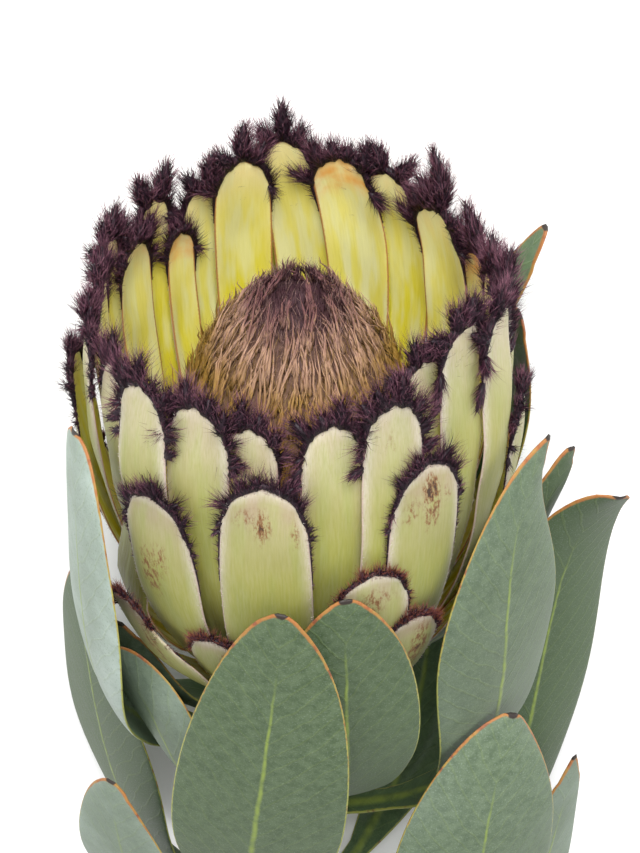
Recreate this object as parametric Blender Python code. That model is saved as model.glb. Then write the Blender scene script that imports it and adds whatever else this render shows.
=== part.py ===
"""A cut protea: a goblet of bearded bracts round a cone of florets, on a leafy stem, lying on its side.

Metres, +Z up. The flower is drawn upright first, in a frame of its own: its axis is +Z, the foot of the
head is at height 0 and its front is -Y. LAY then turns it onto its back, so that the front faces up and the
bloom points along +Y. The origin is on the surface that it lies on, in the flat spot of the leaf under the head.
"""

import math
import random
from dataclasses import dataclass

import bmesh
import bpy
from mathutils import Matrix, Vector

# How the flower lies
AXIS_TILT = math.radians(12.3)
REST_HEIGHT = 0.040

# The stem, from its cut end to the receptacle that carries the head
STEM_LENGTH = 0.150
STEM_CUT_RADIUS = 0.0046
STEM_NECK_RADIUS = 0.0052
STEM_NECK_HEIGHT = -0.012
STEM_SIDES = 14
STEM_SWEEP = 0.004
RECEPTACLE_TOP = 0.017

# The goblet of bracts
CUP_LENGTH = 0.115
CUP_FOOT_RADIUS = 0.0085
CUP_BELLY_RADIUS = 0.0412
CUP_FULLNESS = 3.4
CUP_MOUTH_INCURVE = 0.0015
BRACT_THICKNESS = 0.0008
BRACT_CROWN = 0.0010
BRACT_FOOT_SHARE = 0.42
BRACT_TIP_SHARE = 0.88
BRACT_TIP_ROUNDING = 0.68
SEAT_GAP = 0.0003
LAYER_FOOT_STEP = 0.0017
LAYER_STAND_OFF = (0.0, 0.0019, 0.0038, 0.0056, 0.0074, 0.0090)
LAYER_SEAT_TOP = 0.016
LAYER_SEAT_STEP = 0.0028

# Each bract's fringe, in teeth that stand for its beard of hairs
TOOTH_LENGTH_TOP = 0.0088
TOOTH_LENGTH_SIDE = 0.0040
TOOTH_SLANT = 0.4
FRINGE_START = 0.80
FRINGE_FULL_TIP = 0.100
FRINGE_SEED = 7

# The florets
FLORET_FOOT_HEIGHT = RECEPTACLE_TOP + SEAT_GAP + 0.0002
FLORET_APEX_HEIGHT = 0.1125
FLORET_WIDEST_HEIGHT = 0.076
FLORET_WIDEST_RADIUS = 0.0245
FLORET_FOOT_RADIUS = 0.0125
FLORET_SKIN_DEPTH = 0.0030
FLORET_CORE_HEIGHTS = (0.030, 0.045, 0.060, 0.074, 0.088, 0.098, 0.105)
FLORET_CORE_SIDES = 16
FLORET_COUNT = 140
FLORET_LOWEST_SEAT = 0.042
FLORET_LENGTH = 0.0150
FLORET_RADIUS = 0.0016
FLORET_SEED = 3

# The leaves
LEAF_THICKNESS = 0.0009
LEAF_STALK_HALF_WIDTH = 0.0026
LEAF_POINT_HALF_WIDTH = 0.0006
LEAF_LINE_STEPS = 40
LEAF_ROWS = (0.0, 0.08, 0.18, 0.29, 0.40, 0.51, 0.62, 0.73, 0.83, 0.91, 0.965, 1.0)

GOLDEN_ANGLE = math.pi * (3 - math.sqrt(5))


@dataclass(frozen=True)
class Bract:
    """One bract: its azimuth round the axis, the height of its tip, half its width, and its layer from inside.

    widest is the share of its length where it is widest, and foot is how wide it is at its foot beside that. Its
    middle sways by degrees round the axis, and its lower part stands off the others by stand.
    """

    azimuth: float
    tip: float
    half: float
    layer: int
    widest: float = 0.80
    foot: float = BRACT_FOOT_SHARE
    sway: float = 0.0
    stand: float = 0.0


@dataclass(frozen=True)
class Leaf:
    """One leaf, from its seat on the stem to its tip, with azimuths in degrees and the rest in metres.

    facing is the azimuth that the blade's outer face looks to. The midrib leaves the stem by reach outward and
    rise upward, and comes to the tip along over, leaning outward by lean degrees and swayed sideways. cup bends
    the margins inward, widest is the share of the length where the blade is widest, and a low blunt rounds its
    end.
    """

    seat_azimuth: float
    seat_height: float
    tip_azimuth: float
    tip_distance: float
    tip_height: float
    half: float
    facing: float
    reach: float = 0.036
    rise: float = 0.012
    over: float = 0.050
    lean: float = 0.0
    sway: float = 0.0
    cup: float = 0.08
    widest: float = 0.55
    blunt: float = 0.62


TALL_BRACTS = (
    Bract(-176, 0.1148, 0.0064, 1, sway=-7),
    Bract(-163.5, 0.1120, 0.0065, 0),
    Bract(-152.8, 0.1063, 0.0064, 1),
    Bract(-142.6, 0.0975, 0.0037, 0),
    Bract(-134.2, 0.1090, 0.0051, 1),
    Bract(-123.2, 0.1033, 0.0056, 0),
    Bract(-112, 0.1095, 0.0055, 1),
    Bract(-98, 0.1085, 0.0060, 0),
    Bract(-84, 0.1060, 0.0066, 1),
    Bract(-63, 0.1055, 0.0078, 0, stand=0.0042),
    Bract(-43.5, 0.1130, 0.0066, 2),
    Bract(-27.5, 0.1122, 0.0070, 1),
    Bract(-13.5, 0.1084, 0.0060, 0),
    Bract(9.1, 0.1113, 0.0066, 1),
    Bract(24.2, 0.1153, 0.0066, 2),
    Bract(36.5, 0.1190, 0.0064, 0),
    Bract(49, 0.1240, 0.0064, 1),
    Bract(63.5, 0.1212, 0.0068, 2),
    Bract(82.5, 0.1150, 0.0066, 1),
    Bract(98.6, 0.1090, 0.0064, 0),
    Bract(117, 0.1020, 0.0066, 1, sway=-6),
    Bract(133.5, 0.1075, 0.0070, 0, sway=-8),
    Bract(153, 0.1094, 0.0068, 1, sway=-7),
    Bract(166.5, 0.1123, 0.0072, 0, sway=-7),
)
MIDDLE_BRACTS = (
    Bract(-38, 0.0880, 0.0088, 3, 0.66),
    Bract(-8.5, 0.0990, 0.0094, 3, 0.62),
    Bract(32.5, 0.0985, 0.0084, 3, 0.70),
    Bract(78, 0.0900, 0.0080, 3, 0.68),
    Bract(122, 0.0660, 0.0082, 3, 0.66),
    Bract(160.5, 0.0820, 0.0084, 3, 0.66),
    Bract(-175, 0.0930, 0.0082, 3, 0.66),
    Bract(-127, 0.0775, 0.0080, 3, 0.66),
    Bract(-94, 0.0890, 0.0080, 3, 0.66),
)
LOW_BRACTS = (
    Bract(-53, 0.0500, 0.0078, 5, 0.62, foot=0.70, sway=8, stand=0.0014),
    Bract(-24, 0.0490, 0.0072, 4, 0.62),
    Bract(18, 0.0740, 0.0088, 4, 0.60),
    Bract(29.4, 0.0570, 0.0078, 5, 0.62),
    Bract(66, 0.0560, 0.0078, 4, 0.60),
    Bract(98, 0.0620, 0.0078, 4, 0.60),
    Bract(142, 0.0560, 0.0076, 4, 0.60),
    Bract(-140, 0.0540, 0.0076, 4, 0.60),
    Bract(-100, 0.0590, 0.0074, 4, 0.60),
)

LEAVES = {
    "leaf_front_left": Leaf(-30, -0.0740, -4, 0.0525, 0.0715, 0.0192, -12, reach=0.044, over=0.068,
                            sway=-0.003),
    "leaf_front_centre": Leaf(16, -0.0300, 10.5, 0.0500, 0.0720, 0.0160, 10, reach=0.04, over=0.055,
                              widest=0.62),
    "leaf_right_low": Leaf(53, -0.1090, 58.6, 0.0546, 0.0116, 0.0204, 19, reach=0.0524, rise=0.0078,
                           over=0.0331, lean=-2.8, sway=-0.026, cup=0.228, widest=0.624, blunt=0.569),
    "leaf_right_tall": Leaf(77.6, -0.0560, 68, 0.0544, 0.0887, 0.0170, 40.6, reach=0.0626, rise=0.0193,
                            over=0.0251, lean=19.7, sway=-0.0364, cup=0.146, widest=0.654, blunt=0.918),
    "leaf_right_spread": Leaf(72, -0.0983, 93.5, 0.0707, 0.0453, 0.0168, 28.1, reach=0.0657, rise=0.0054,
                              over=0.0367, lean=41.5, sway=0.0156, cup=0.187, widest=0.62, blunt=0.45),
    "leaf_right_behind": Leaf(104.7, -0.0170, 98.3, 0.0601, 0.0567, 0.0078, 44.7, reach=0.0479,
                              rise=0.0132, over=0.0263, lean=24, sway=-0.0046, cup=0.14, widest=0.533,
                              blunt=0.45),
    "leaf_back_right_high": Leaf(156, -0.0151, 127.2, 0.0681, 0.0920, 0.0080, 108.5, reach=0.0474,
                                 rise=0.0045, over=0.0414, lean=35.4, sway=0.0035, cup=0.033, widest=0.494,
                                 blunt=0.494),
    "leaf_back_right": Leaf(126.4, -0.0238, 113.6, 0.0517, 0.0851, 0.0109, 103.1, reach=0.0322,
                            rise=0.0165, over=0.0489, lean=-9.5, sway=0.0025, cup=0.056, widest=0.579,
                            blunt=0.45),
    "leaf_right_bottom": Leaf(70.2, -0.1335, 83.7, 0.0651, -0.0301, 0.0130, 44, reach=0.046, rise=0.004,
                              over=0.0596, lean=6, sway=-0.005, cup=0.085, widest=0.493, blunt=0.809),
    "leaf_left_tall": Leaf(-92.5, -0.0356, -66.7, 0.0488, 0.0901, 0.0143, -67, reach=0.042, rise=0.0165,
                           over=0.0785, lean=-8.8, sway=0.0228, cup=0.178, widest=0.72, blunt=0.45),
    "leaf_left_behind": Leaf(-92.6, -0.1030, -95, 0.0506, 0.0275, 0.0213, -57.6, reach=0.0504,
                             rise=-0.0007, over=0.0442, lean=3, sway=0.0009, cup=0.115, widest=0.556,
                             blunt=1.1),
    "leaf_left_small": Leaf(-61.9, -0.0388, -60.8, 0.0465, 0.0275, 0.0130, -47.4, reach=0.0347,
                            rise=0.0046, over=0.02, lean=20.9, sway=0.0267, cup=0.19, widest=0.715,
                            blunt=0.45),
    "leaf_left_low": Leaf(-66, -0.1080, -55, 0.0520, -0.0090, 0.0160, -36),
    "leaf_under": Leaf(180, -0.0420, 180, 0.0500, 0.0760, 0.0160, 180, reach=0.04, over=0.055),
    "leaf_under_left": Leaf(-97.2, -0.0303, -63.2, 0.0436, 0.0329, 0.0131, -36.9, reach=0.015, rise=0.0211,
                            over=0.0362, lean=5.6, sway=0.008, cup=0.111, widest=0.569, blunt=0.788),
    "leaf_under_right": Leaf(135.2, -0.0971, 138, 0.0500, 0.0340, 0.0164, 147.1, reach=0.0378, rise=0.0081,
                             over=0.0508, lean=-0.2, sway=0.0002, cup=0.074, widest=0.533, blunt=0.615),
}


def smooth(value, low, high):
    """0 below low, 1 above high, and an even S between them."""
    share = min(max((value - low) / (high - low), 0.0), 1.0)
    return share * share * (3 - 2 * share)


def mix(start, end, share):
    """The value that lies at share between start and end."""
    return start + (end - start) * share


def around(azimuth, distance, height):
    """A point of the upright flower, from degrees round its axis with 0 at the front."""
    turn = math.radians(azimuth)
    return Vector((distance * math.sin(turn), -distance * math.cos(turn), height))


def laying_matrix():
    """Turns the upright flower onto its back, with the cut end of its stem on the surface."""
    low_point = STEM_CUT_RADIUS * math.cos(AXIS_TILT)
    axis_height = low_point + (STEM_LENGTH + REST_HEIGHT) * math.sin(AXIS_TILT)
    turn = Matrix.Rotation(AXIS_TILT - math.pi / 2, 4, "X")
    return Matrix.Translation((0, 0, axis_height)) @ turn @ Matrix.Translation((0, 0, -REST_HEIGHT))


LAY = laying_matrix()


def clear_scene():
    """Removes whatever the scene holds."""
    for obj in list(bpy.data.objects):
        bpy.data.objects.remove(obj)


def make_material(name, colour, roughness):
    """A plain surface in one colour."""
    material = bpy.data.materials.new(name)
    material.use_nodes = True
    shader = material.node_tree.nodes["Principled BSDF"]
    shader.inputs["Base Color"].default_value = (*colour, 1.0)
    shader.inputs["Roughness"].default_value = roughness
    shader.inputs["Metallic"].default_value = 0.0
    material.diffuse_color = (*colour, 1.0)
    return material


def place(mesh, name, material):
    """An object for the mesh, smooth with sharp edges kept."""
    mesh.materials.append(material)
    mesh.shade_smooth()
    mesh.set_sharp_from_angle(angle=math.radians(40))
    obj = bpy.data.objects.new(name, mesh)
    bpy.context.scene.collection.objects.link(obj)
    return obj


def grid_normal(grid, i, j):
    """The normal of a grid of points at one of them."""
    along = grid[min(i + 1, len(grid) - 1)][j] - grid[max(i - 1, 0)][j]
    across = grid[i][min(j + 1, len(grid[0]) - 1)] - grid[i][max(j - 1, 0)]
    return across.cross(along).normalized()


def border_of(rows, columns):
    """The grid's border in order: up the left side, across the top, down the right side and back."""
    left = [(i, 0) for i in range(rows)]
    top = [(rows - 1, j) for j in range(1, columns)]
    right = [(i, columns - 1) for i in range(rows - 2, -1, -1)]
    foot = [(0, j) for j in range(columns - 2, 0, -1)]
    return left + top + right + foot


def blade_mesh(name, grid, thickness, tooth=None, floor=None):
    """A closed thin blade round a grid of points. tooth gives the tooth's tip on a border edge, or None."""
    rows, columns = len(grid), len(grid[0])
    shape = bmesh.new()
    faces = []
    for side in (1, -1):
        layer = []
        for i in range(rows):
            layer.append([])
            for j in range(columns):
                point = grid[i][j] + grid_normal(grid, i, j) * (side * thickness / 2)
                if floor is not None:
                    point.z = max(point.z, floor)
                layer[i].append(shape.verts.new(point))
        faces.append(layer)
    for layer in faces:
        for i in range(rows - 1):
            for j in range(columns - 1):
                low_left, low_right = layer[i][j], layer[i][j + 1]
                high_left, high_right = layer[i + 1][j], layer[i + 1][j + 1]
                shape.faces.new((low_left, low_right, high_right))
                shape.faces.new((low_left, high_right, high_left))
    border = border_of(rows, columns)
    for start, end in zip(border, border[1:] + border[:1]):
        corners = [faces[0][start[0]][start[1]], faces[0][end[0]][end[1]]]
        corners += [faces[1][end[0]][end[1]], faces[1][start[0]][start[1]]]
        tip = tooth(start, end) if tooth else None
        if tip is None:
            shape.faces.new(corners[:3])
            shape.faces.new((corners[0], corners[2], corners[3]))
        else:
            apex = shape.verts.new(tip)
            for first, second in zip(corners, corners[1:] + corners[:1]):
                shape.faces.new((first, second, apex))
    bmesh.ops.recalc_face_normals(shape, faces=shape.faces)
    mesh = bpy.data.meshes.new(name)
    shape.to_mesh(mesh)
    shape.free()
    return mesh


def turned_mesh(name, profile, sides, bend=None):
    """A closed solid turned round the upright axis from (radius, height) points, whose ends are on the axis."""
    shape = bmesh.new()
    rings = []
    for radius, height in profile:
        shift = bend(height) if bend else Vector((0, 0, 0))
        if radius == 0:
            rings.append([shape.verts.new(Vector((0, 0, height)) + shift)])
            continue
        turns = [360 * k / sides for k in range(sides)]
        rings.append([shape.verts.new(around(turn, radius, height) + shift) for turn in turns])
    for low, high in zip(rings, rings[1:]):
        for k in range(sides):
            following = (k + 1) % sides
            if len(low) == 1:
                shape.faces.new((low[0], high[k], high[following]))
            elif len(high) == 1:
                shape.faces.new((low[k], low[following], high[0]))
            else:
                shape.faces.new((low[k], low[following], high[following], high[k]))
    bmesh.ops.recalc_face_normals(shape, faces=shape.faces)
    mesh = bpy.data.meshes.new(name)
    shape.to_mesh(mesh)
    shape.free()
    return mesh


def cup_radius(height):
    """Distance of the innermost layer of bracts from the axis at a height."""
    short = min(max(1 - height / CUP_LENGTH, 0.0), 1.0)
    flare = (CUP_BELLY_RADIUS - CUP_FOOT_RADIUS) * (1 - short**CUP_FULLNESS)
    return CUP_FOOT_RADIUS + flare - CUP_MOUTH_INCURVE * smooth(height, 0.090, 0.115)


def layer_radius(layer, height):
    """Distance of a layer of bracts from the axis: close to the next one at the foot, further off above it."""
    foot = layer * LAYER_FOOT_STEP
    return cup_radius(height) + foot + (LAYER_STAND_OFF[layer] - foot) * smooth(height, 0.014, 0.050)


def receptacle_radius(height):
    """Distance of the receptacle's side from the axis, where each layer's foot in turn sits on it."""
    layer = (LAYER_SEAT_TOP - height) / LAYER_SEAT_STEP
    return cup_radius(height) + layer * LAYER_FOOT_STEP - BRACT_THICKNESS / 2 - SEAT_GAP


def bract_half_width(bract, share):
    """Half the bract's width at a share of its length: narrow at the foot, drawn in a little at the tip."""
    if share < bract.widest:
        return bract.half * mix(bract.foot, 1.0, math.sin(math.pi / 2 * share / bract.widest))
    beyond = (share - bract.widest) / (1 - bract.widest)
    return bract.half * mix(1.0, BRACT_TIP_SHARE, beyond**2)


def bract_point(bract, share, across, rise=0.0):
    """A point of the bract's middle surface. across runs from -1 to 1, and rise carries it past the tip."""
    seat = LAYER_SEAT_TOP - bract.layer * LAYER_SEAT_STEP
    rounding = BRACT_TIP_ROUNDING * bract.half * abs(across) ** 2.2 * share**6
    height = mix(seat, bract.tip, share) - rounding + rise
    bulge = BRACT_CROWN * (1 - min(abs(across), 1.0) ** 2) * smooth(share, 0.35, 0.7) * (1 - share**8)
    bulge += bract.stand * smooth(height, 0.014, 0.028) * (1 - smooth(height, 0.038, 0.060))
    radius = layer_radius(bract.layer, height) + bulge
    arc = across * bract_half_width(bract, share) / radius
    azimuth = bract.azimuth + bract.sway * 4 * share * (1 - share) + math.degrees(arc)
    return around(azimuth, radius, height)


def bract_mesh(name, bract, rows, columns, draw):
    """One bract with its toothed fringe, laid down with the flower."""
    shares = [1 - (1 - k / rows) ** 1.35 for k in range(rows + 1)]
    spots = [2 * k / columns - 1 for k in range(columns + 1)]
    grid = [[LAY @ bract_point(bract, share, spot) for spot in spots] for share in shares]
    size = min(1.0, bract.tip / FRINGE_FULL_TIP)

    def tooth(start, end):
        """The tip of the tooth over one border edge, fanned out from the middle of the bract's tip."""
        share = (shares[start[0]] + shares[end[0]]) / 2
        spot = (spots[start[1]] + spots[end[1]]) / 2
        if share < FRINGE_START:
            return None
        length = mix(TOOTH_LENGTH_TOP, TOOTH_LENGTH_SIDE, abs(spot)) * size * draw.uniform(0.85, 1.1)
        slant = TOOTH_SLANT * spot
        sideways = length * slant / bract_half_width(bract, share)
        upward = length * math.sqrt(1 - slant * slant)
        return LAY @ bract_point(bract, share, spot + sideways, rise=upward)

    return blade_mesh(name, grid, BRACT_THICKNESS, tooth)


def build_bracts(material):
    """Every bract of the goblet, each a blade of its own."""
    draw = random.Random(FRINGE_SEED)
    groups = (
        ("tall_bract", TALL_BRACTS, 7, 6),
        ("middle_bract", MIDDLE_BRACTS, 6, 6),
        ("low_bract", LOW_BRACTS, 5, 4),
    )
    for group, bracts, rows, columns in groups:
        for number, bract in enumerate(bracts, 1):
            name = f"{group}_{number:02d}"
            place(bract_mesh(name, bract, rows, columns, draw), name, material)


def stem_bend(height):
    """The stem's gentle sweep to the right below the head."""
    return Vector((STEM_SWEEP * smooth(-height, 0.0, STEM_LENGTH), 0, 0))


def build_stem(material):
    """The woody stem, from its cut end to the receptacle that the bracts and the florets sit on."""
    profile = [(0, -STEM_LENGTH), (STEM_CUT_RADIUS, -STEM_LENGTH)]
    for share in (0.2, 0.4, 0.6, 0.8, 1.0):
        height = mix(-STEM_LENGTH, STEM_NECK_HEIGHT, share)
        profile.append((mix(STEM_CUT_RADIUS, STEM_NECK_RADIUS, share), height))
    profile.append((mix(STEM_NECK_RADIUS, receptacle_radius(0.0), 0.45), STEM_NECK_HEIGHT / 2.6))
    for share in (0.0, 0.25, 0.5, 0.75, 1.0):
        height = mix(0.0, LAYER_SEAT_TOP, share)
        profile.append((receptacle_radius(height), height))
    profile += [(FLORET_FOOT_RADIUS, RECEPTACLE_TOP), (0, RECEPTACLE_TOP)]
    mesh = turned_mesh("stem", profile, STEM_SIDES, stem_bend)
    mesh.transform(LAY)
    place(mesh, "stem", material)


def floret_radius(height):
    """Distance of the floret cone's skin from the axis at a height."""
    if height < FLORET_WIDEST_HEIGHT:
        share = (height - FLORET_FOOT_HEIGHT) / (FLORET_WIDEST_HEIGHT - FLORET_FOOT_HEIGHT)
        return mix(FLORET_FOOT_RADIUS, FLORET_WIDEST_RADIUS, math.sin(math.pi / 2 * share))
    share = (height - FLORET_WIDEST_HEIGHT) / (FLORET_APEX_HEIGHT - FLORET_WIDEST_HEIGHT)
    return FLORET_WIDEST_RADIUS * (1 - share**1.6) ** 0.7


def floret_core_mesh():
    """The packed inner florets, a little inside the skin that the outer ones make."""
    profile = [(0, FLORET_FOOT_HEIGHT), (FLORET_FOOT_RADIUS, FLORET_FOOT_HEIGHT)]
    for height in FLORET_CORE_HEIGHTS:
        profile.append((floret_radius(height) - FLORET_SKIN_DEPTH, height))
    profile.append((0, FLORET_APEX_HEIGHT - FLORET_SKIN_DEPTH))
    return turned_mesh("floret_core", profile, FLORET_CORE_SIDES)


def floret_mesh(foot, tip, radius, outward):
    """One outer floret: a three-sided spindle from foot to tip, thickest halfway up."""
    along = (tip - foot).normalized()
    aside = along.cross(outward).normalized()
    out = aside.cross(along).normalized()
    shape = bmesh.new()
    rings = []
    for share, thick in ((0.0, 0.5), (0.5, 1.0)):
        centre = foot.lerp(tip, share)
        ring = []
        for turn in (90, 210, 330):
            angle = math.radians(turn)
            spoke = aside * math.cos(angle) + out * math.sin(angle)
            ring.append(shape.verts.new(centre + spoke * (radius * thick)))
        rings.append(ring)
    apex = shape.verts.new(tip)
    shape.faces.new(rings[0])
    for k in range(3):
        following = (k + 1) % 3
        shape.faces.new((rings[0][k], rings[0][following], rings[1][following], rings[1][k]))
        shape.faces.new((rings[1][k], rings[1][following], apex))
    bmesh.ops.recalc_face_normals(shape, faces=shape.faces)
    mesh = bpy.data.meshes.new("floret")
    shape.to_mesh(mesh)
    shape.free()
    return mesh


def floret_seats():
    """Where each outer floret leaves the core: spaced evenly over the skin, each turned by the golden angle."""
    low, high = FLORET_LOWEST_SEAT, FLORET_APEX_HEIGHT - 0.004
    steps = [mix(low, high, k / 400) for k in range(401)]
    areas = [0.0]
    for height, following in zip(steps, steps[1:]):
        areas.append(areas[-1] + floret_radius(height) * (following - height))
    seats = []
    for number in range(FLORET_COUNT):
        wanted = areas[-1] * (number + 0.5) / FLORET_COUNT
        step = next(k for k, area in enumerate(areas) if area >= wanted)
        seats.append((math.degrees(number * GOLDEN_ANGLE), steps[step]))
    return seats


def build_florets(material):
    """The cone of florets: a packed core with the outer florets standing out of it, joined in one solid."""
    draw = random.Random(FLORET_SEED)
    spindles = bpy.data.collections.new("florets")
    bpy.context.scene.collection.children.link(spindles)
    for azimuth, height in floret_seats():
        turn = azimuth + draw.uniform(-3, 3)
        foot = around(turn, floret_radius(height) - 0.0045, height - 0.003)
        tip_height = min(height + FLORET_LENGTH * draw.uniform(0.85, 1.1), FLORET_APEX_HEIGHT + 0.002)
        leaning = floret_radius(min(tip_height, FLORET_APEX_HEIGHT - 0.0006)) + 0.0016
        tip = around(turn + draw.uniform(-4, 4), leaning, tip_height)
        mesh = floret_mesh(foot, tip, FLORET_RADIUS, around(turn, 1, 0))
        spindles.objects.link(bpy.data.objects.new("floret", mesh))
    core = place(floret_core_mesh(), "floret_cone", material)
    join = core.modifiers.new("join", "BOOLEAN")
    join.operation = "UNION"
    join.operand_type = "COLLECTION"
    join.collection = spindles
    join.solver = "MANIFOLD"
    graph = bpy.context.evaluated_depsgraph_get()
    joined = bpy.data.meshes.new_from_object(core.evaluated_get(graph))
    core.modifiers.remove(join)
    core.data = joined
    joined.transform(LAY)
    for obj in list(spindles.objects):
        bpy.data.objects.remove(obj)
    bpy.data.collections.remove(spindles)


def leaf_half_width(leaf, share):
    """Half the leaf's width at a share of its length, from the narrow foot to the small point."""
    if share < leaf.widest:
        width = leaf.half * math.sin(math.pi / 2 * share / leaf.widest) ** 1.25
    else:
        width = leaf.half * (1 - ((share - leaf.widest) / (1 - leaf.widest)) ** 2) ** leaf.blunt
    return max(width, LEAF_STALK_HALF_WIDTH * (1 - smooth(share, 0.4, 0.9)) + LEAF_POINT_HALF_WIDTH)


def stem_radius(height):
    """The stem's radius at a height below the head."""
    share = (height + STEM_LENGTH) / (STEM_NECK_HEIGHT + STEM_LENGTH)
    if share <= 1:
        return mix(STEM_CUT_RADIUS, STEM_NECK_RADIUS, share)
    return mix(STEM_NECK_RADIUS, receptacle_radius(0.0), (height - STEM_NECK_HEIGHT) / -STEM_NECK_HEIGHT)


def leaf_line(leaf):
    """Points at even distances along the curve that the leaf's midrib follows, on the upright flower."""
    lift = LEAF_THICKNESS / 2 * leaf.rise / math.hypot(leaf.reach, leaf.rise)
    seat_distance = stem_radius(leaf.seat_height) + SEAT_GAP + lift
    foot = around(leaf.seat_azimuth, seat_distance, leaf.seat_height) + stem_bend(leaf.seat_height)
    tip = around(leaf.tip_azimuth, leaf.tip_distance, leaf.tip_height)
    first = foot + around(leaf.seat_azimuth, leaf.reach, leaf.rise)
    lean = math.radians(leaf.lean)
    last = tip - around(leaf.tip_azimuth, math.sin(lean), math.cos(lean)) * leaf.over
    last += around(leaf.tip_azimuth + 90, leaf.sway, 0)
    points = []
    for k in range(LEAF_LINE_STEPS + 1):
        share = k / LEAF_LINE_STEPS
        back = 1 - share
        point = foot * back**3 + first * (3 * back**2 * share) + last * (3 * back * share**2) + tip * share**3
        points.append(point)
    lengths = [0.0]
    for start, end in zip(points, points[1:]):
        lengths.append(lengths[-1] + (end - start).length)
    return points, lengths


def line_point(line, share):
    """The point at a share of the line's length, and the line's direction there."""
    points, lengths = line
    wanted = lengths[-1] * share
    step = next((k for k in range(1, len(lengths)) if lengths[k] >= wanted), len(lengths) - 1)
    start, end = points[step - 1], points[step]
    part = (wanted - lengths[step - 1]) / (lengths[step] - lengths[step - 1])
    before = points[max(step - 2, 0)]
    after = points[min(step + 1, len(points) - 1)]
    slope = (end - before).lerp(after - start, part)
    return start.lerp(end, part), slope.normalized()


def leaf_point(leaf, line, share, across):
    """A point of the leaf's middle surface, on the laid flower, pressed flat where the surface holds it up."""
    point, along = line_point(line, share)
    swing = (leaf.facing - leaf.seat_azimuth + 180) % 360 - 180
    outward = around(leaf.seat_azimuth + swing * smooth(share, 0.04, 0.40), 1, 0)
    aside = along.cross(outward).normalized()
    out = aside.cross(along).normalized()
    half = leaf_half_width(leaf, share)
    laid = LAY @ (point + aside * (across * half) - out * (leaf.cup * half * across * across))
    laid.z = max(laid.z, LEAF_THICKNESS / 2)
    return laid


def build_leaves(material):
    """Every leaf, each a blade of its own seated on the stem."""
    spots = (-1.0, -0.5, 0.0, 0.5, 1.0)
    for name, leaf in LEAVES.items():
        line = leaf_line(leaf)
        grid = [[leaf_point(leaf, line, share, spot) for spot in spots] for share in LEAF_ROWS]
        place(blade_mesh(name, grid, LEAF_THICKNESS, floor=0.0), name, material)


def main():
    """Builds the whole flower."""
    clear_scene()
    build_stem(make_material("stem_bark", (0.30, 0.27, 0.16), 0.8))
    build_bracts(make_material("bract_skin", (0.70, 0.74, 0.42), 0.55))
    build_florets(make_material("floret_hair", (0.36, 0.25, 0.20), 0.9))
    build_leaves(make_material("leaf_skin", (0.25, 0.36, 0.27), 0.6))


main()
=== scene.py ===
"""A cut protea dressed for its picture: bearded bracts round a cone of florets, on a leafy stem, lying down.

Metres, +Z up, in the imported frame. The flower is drawn upright first, in a frame of its own: its axis is +Z,
the foot of its head is at height 0 and its front is -Y. It is then laid on its back.
"""

import logging
import math
from dataclasses import dataclass
from enum import Enum

import bpy
import numpy as np
from mathutils import Matrix, Vector


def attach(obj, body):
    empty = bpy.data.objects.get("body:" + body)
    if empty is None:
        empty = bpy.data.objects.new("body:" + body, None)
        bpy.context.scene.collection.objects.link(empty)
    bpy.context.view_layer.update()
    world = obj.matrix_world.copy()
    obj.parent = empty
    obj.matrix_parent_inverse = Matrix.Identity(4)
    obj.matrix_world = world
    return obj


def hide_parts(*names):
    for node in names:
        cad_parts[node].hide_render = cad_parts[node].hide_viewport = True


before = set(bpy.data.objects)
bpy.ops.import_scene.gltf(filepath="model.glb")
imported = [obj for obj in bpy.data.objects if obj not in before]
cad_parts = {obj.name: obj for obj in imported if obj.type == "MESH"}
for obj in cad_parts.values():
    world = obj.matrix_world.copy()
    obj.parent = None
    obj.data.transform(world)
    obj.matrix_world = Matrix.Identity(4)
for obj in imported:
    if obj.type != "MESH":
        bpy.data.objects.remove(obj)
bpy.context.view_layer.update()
log = logging.getLogger("protea")

Colour = tuple[float, float, float]
Point = tuple[float, float, float]
Field = np.ndarray
Socket = bpy.types.NodeSocket
Node = bpy.types.Node
Tree = bpy.types.NodeTree
Mesh = bpy.types.Mesh
Material = bpy.types.Material


def smooth(value: Field | float, low: float, high: float) -> Field:
    """An even S from 0 below low to 1 above high.

    Args:
        value: What is compared.
        low: Where the S starts.
        high: Where the S ends.

    Returns:
        The S at each value.
    """
    share = np.clip((value - low) / (high - low), 0.0, 1.0)
    return share * share * (3 - 2 * share)


def mix(start: Field | float, end: Field | float, share: Field | float) -> Field | float:
    """The value that lies at share between start and end."""
    return start + (end - start) * share


def around(azimuth: Field | float, distance: Field | float, height: Field | float) -> Field:
    """Points of the upright flower.

    Args:
        azimuth: Degrees round the axis, with 0 at the front and 90 on the right.
        distance: Distance from the axis.
        height: Height over the foot of the head.

    Returns:
        The points, with their coordinates on the last axis.
    """
    turn = np.radians(azimuth)
    flat = np.broadcast_arrays(distance * np.sin(turn), -distance * np.cos(turn), height)
    return np.stack(flat, axis=-1).astype(float)


def unit(vectors: Field) -> Field:
    """The vectors with their lengths made 1."""
    return vectors / np.maximum(np.linalg.norm(vectors, axis=-1, keepdims=True), 1e-12)


def grid_quads(index: Field) -> Field:
    """The faces of a grid of vertices, whose numbers come in rows and columns."""
    corners = (index[:-1, :-1], index[:-1, 1:], index[1:, 1:], index[1:, :-1])
    return np.stack(corners, axis=-1).reshape(-1, 4)


def ring_quads(index: Field) -> Field:
    """The faces between closed rings of vertices, whose numbers come a ring to a row."""
    return grid_quads(np.concatenate([index, index[:, :1]], axis=1))


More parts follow.
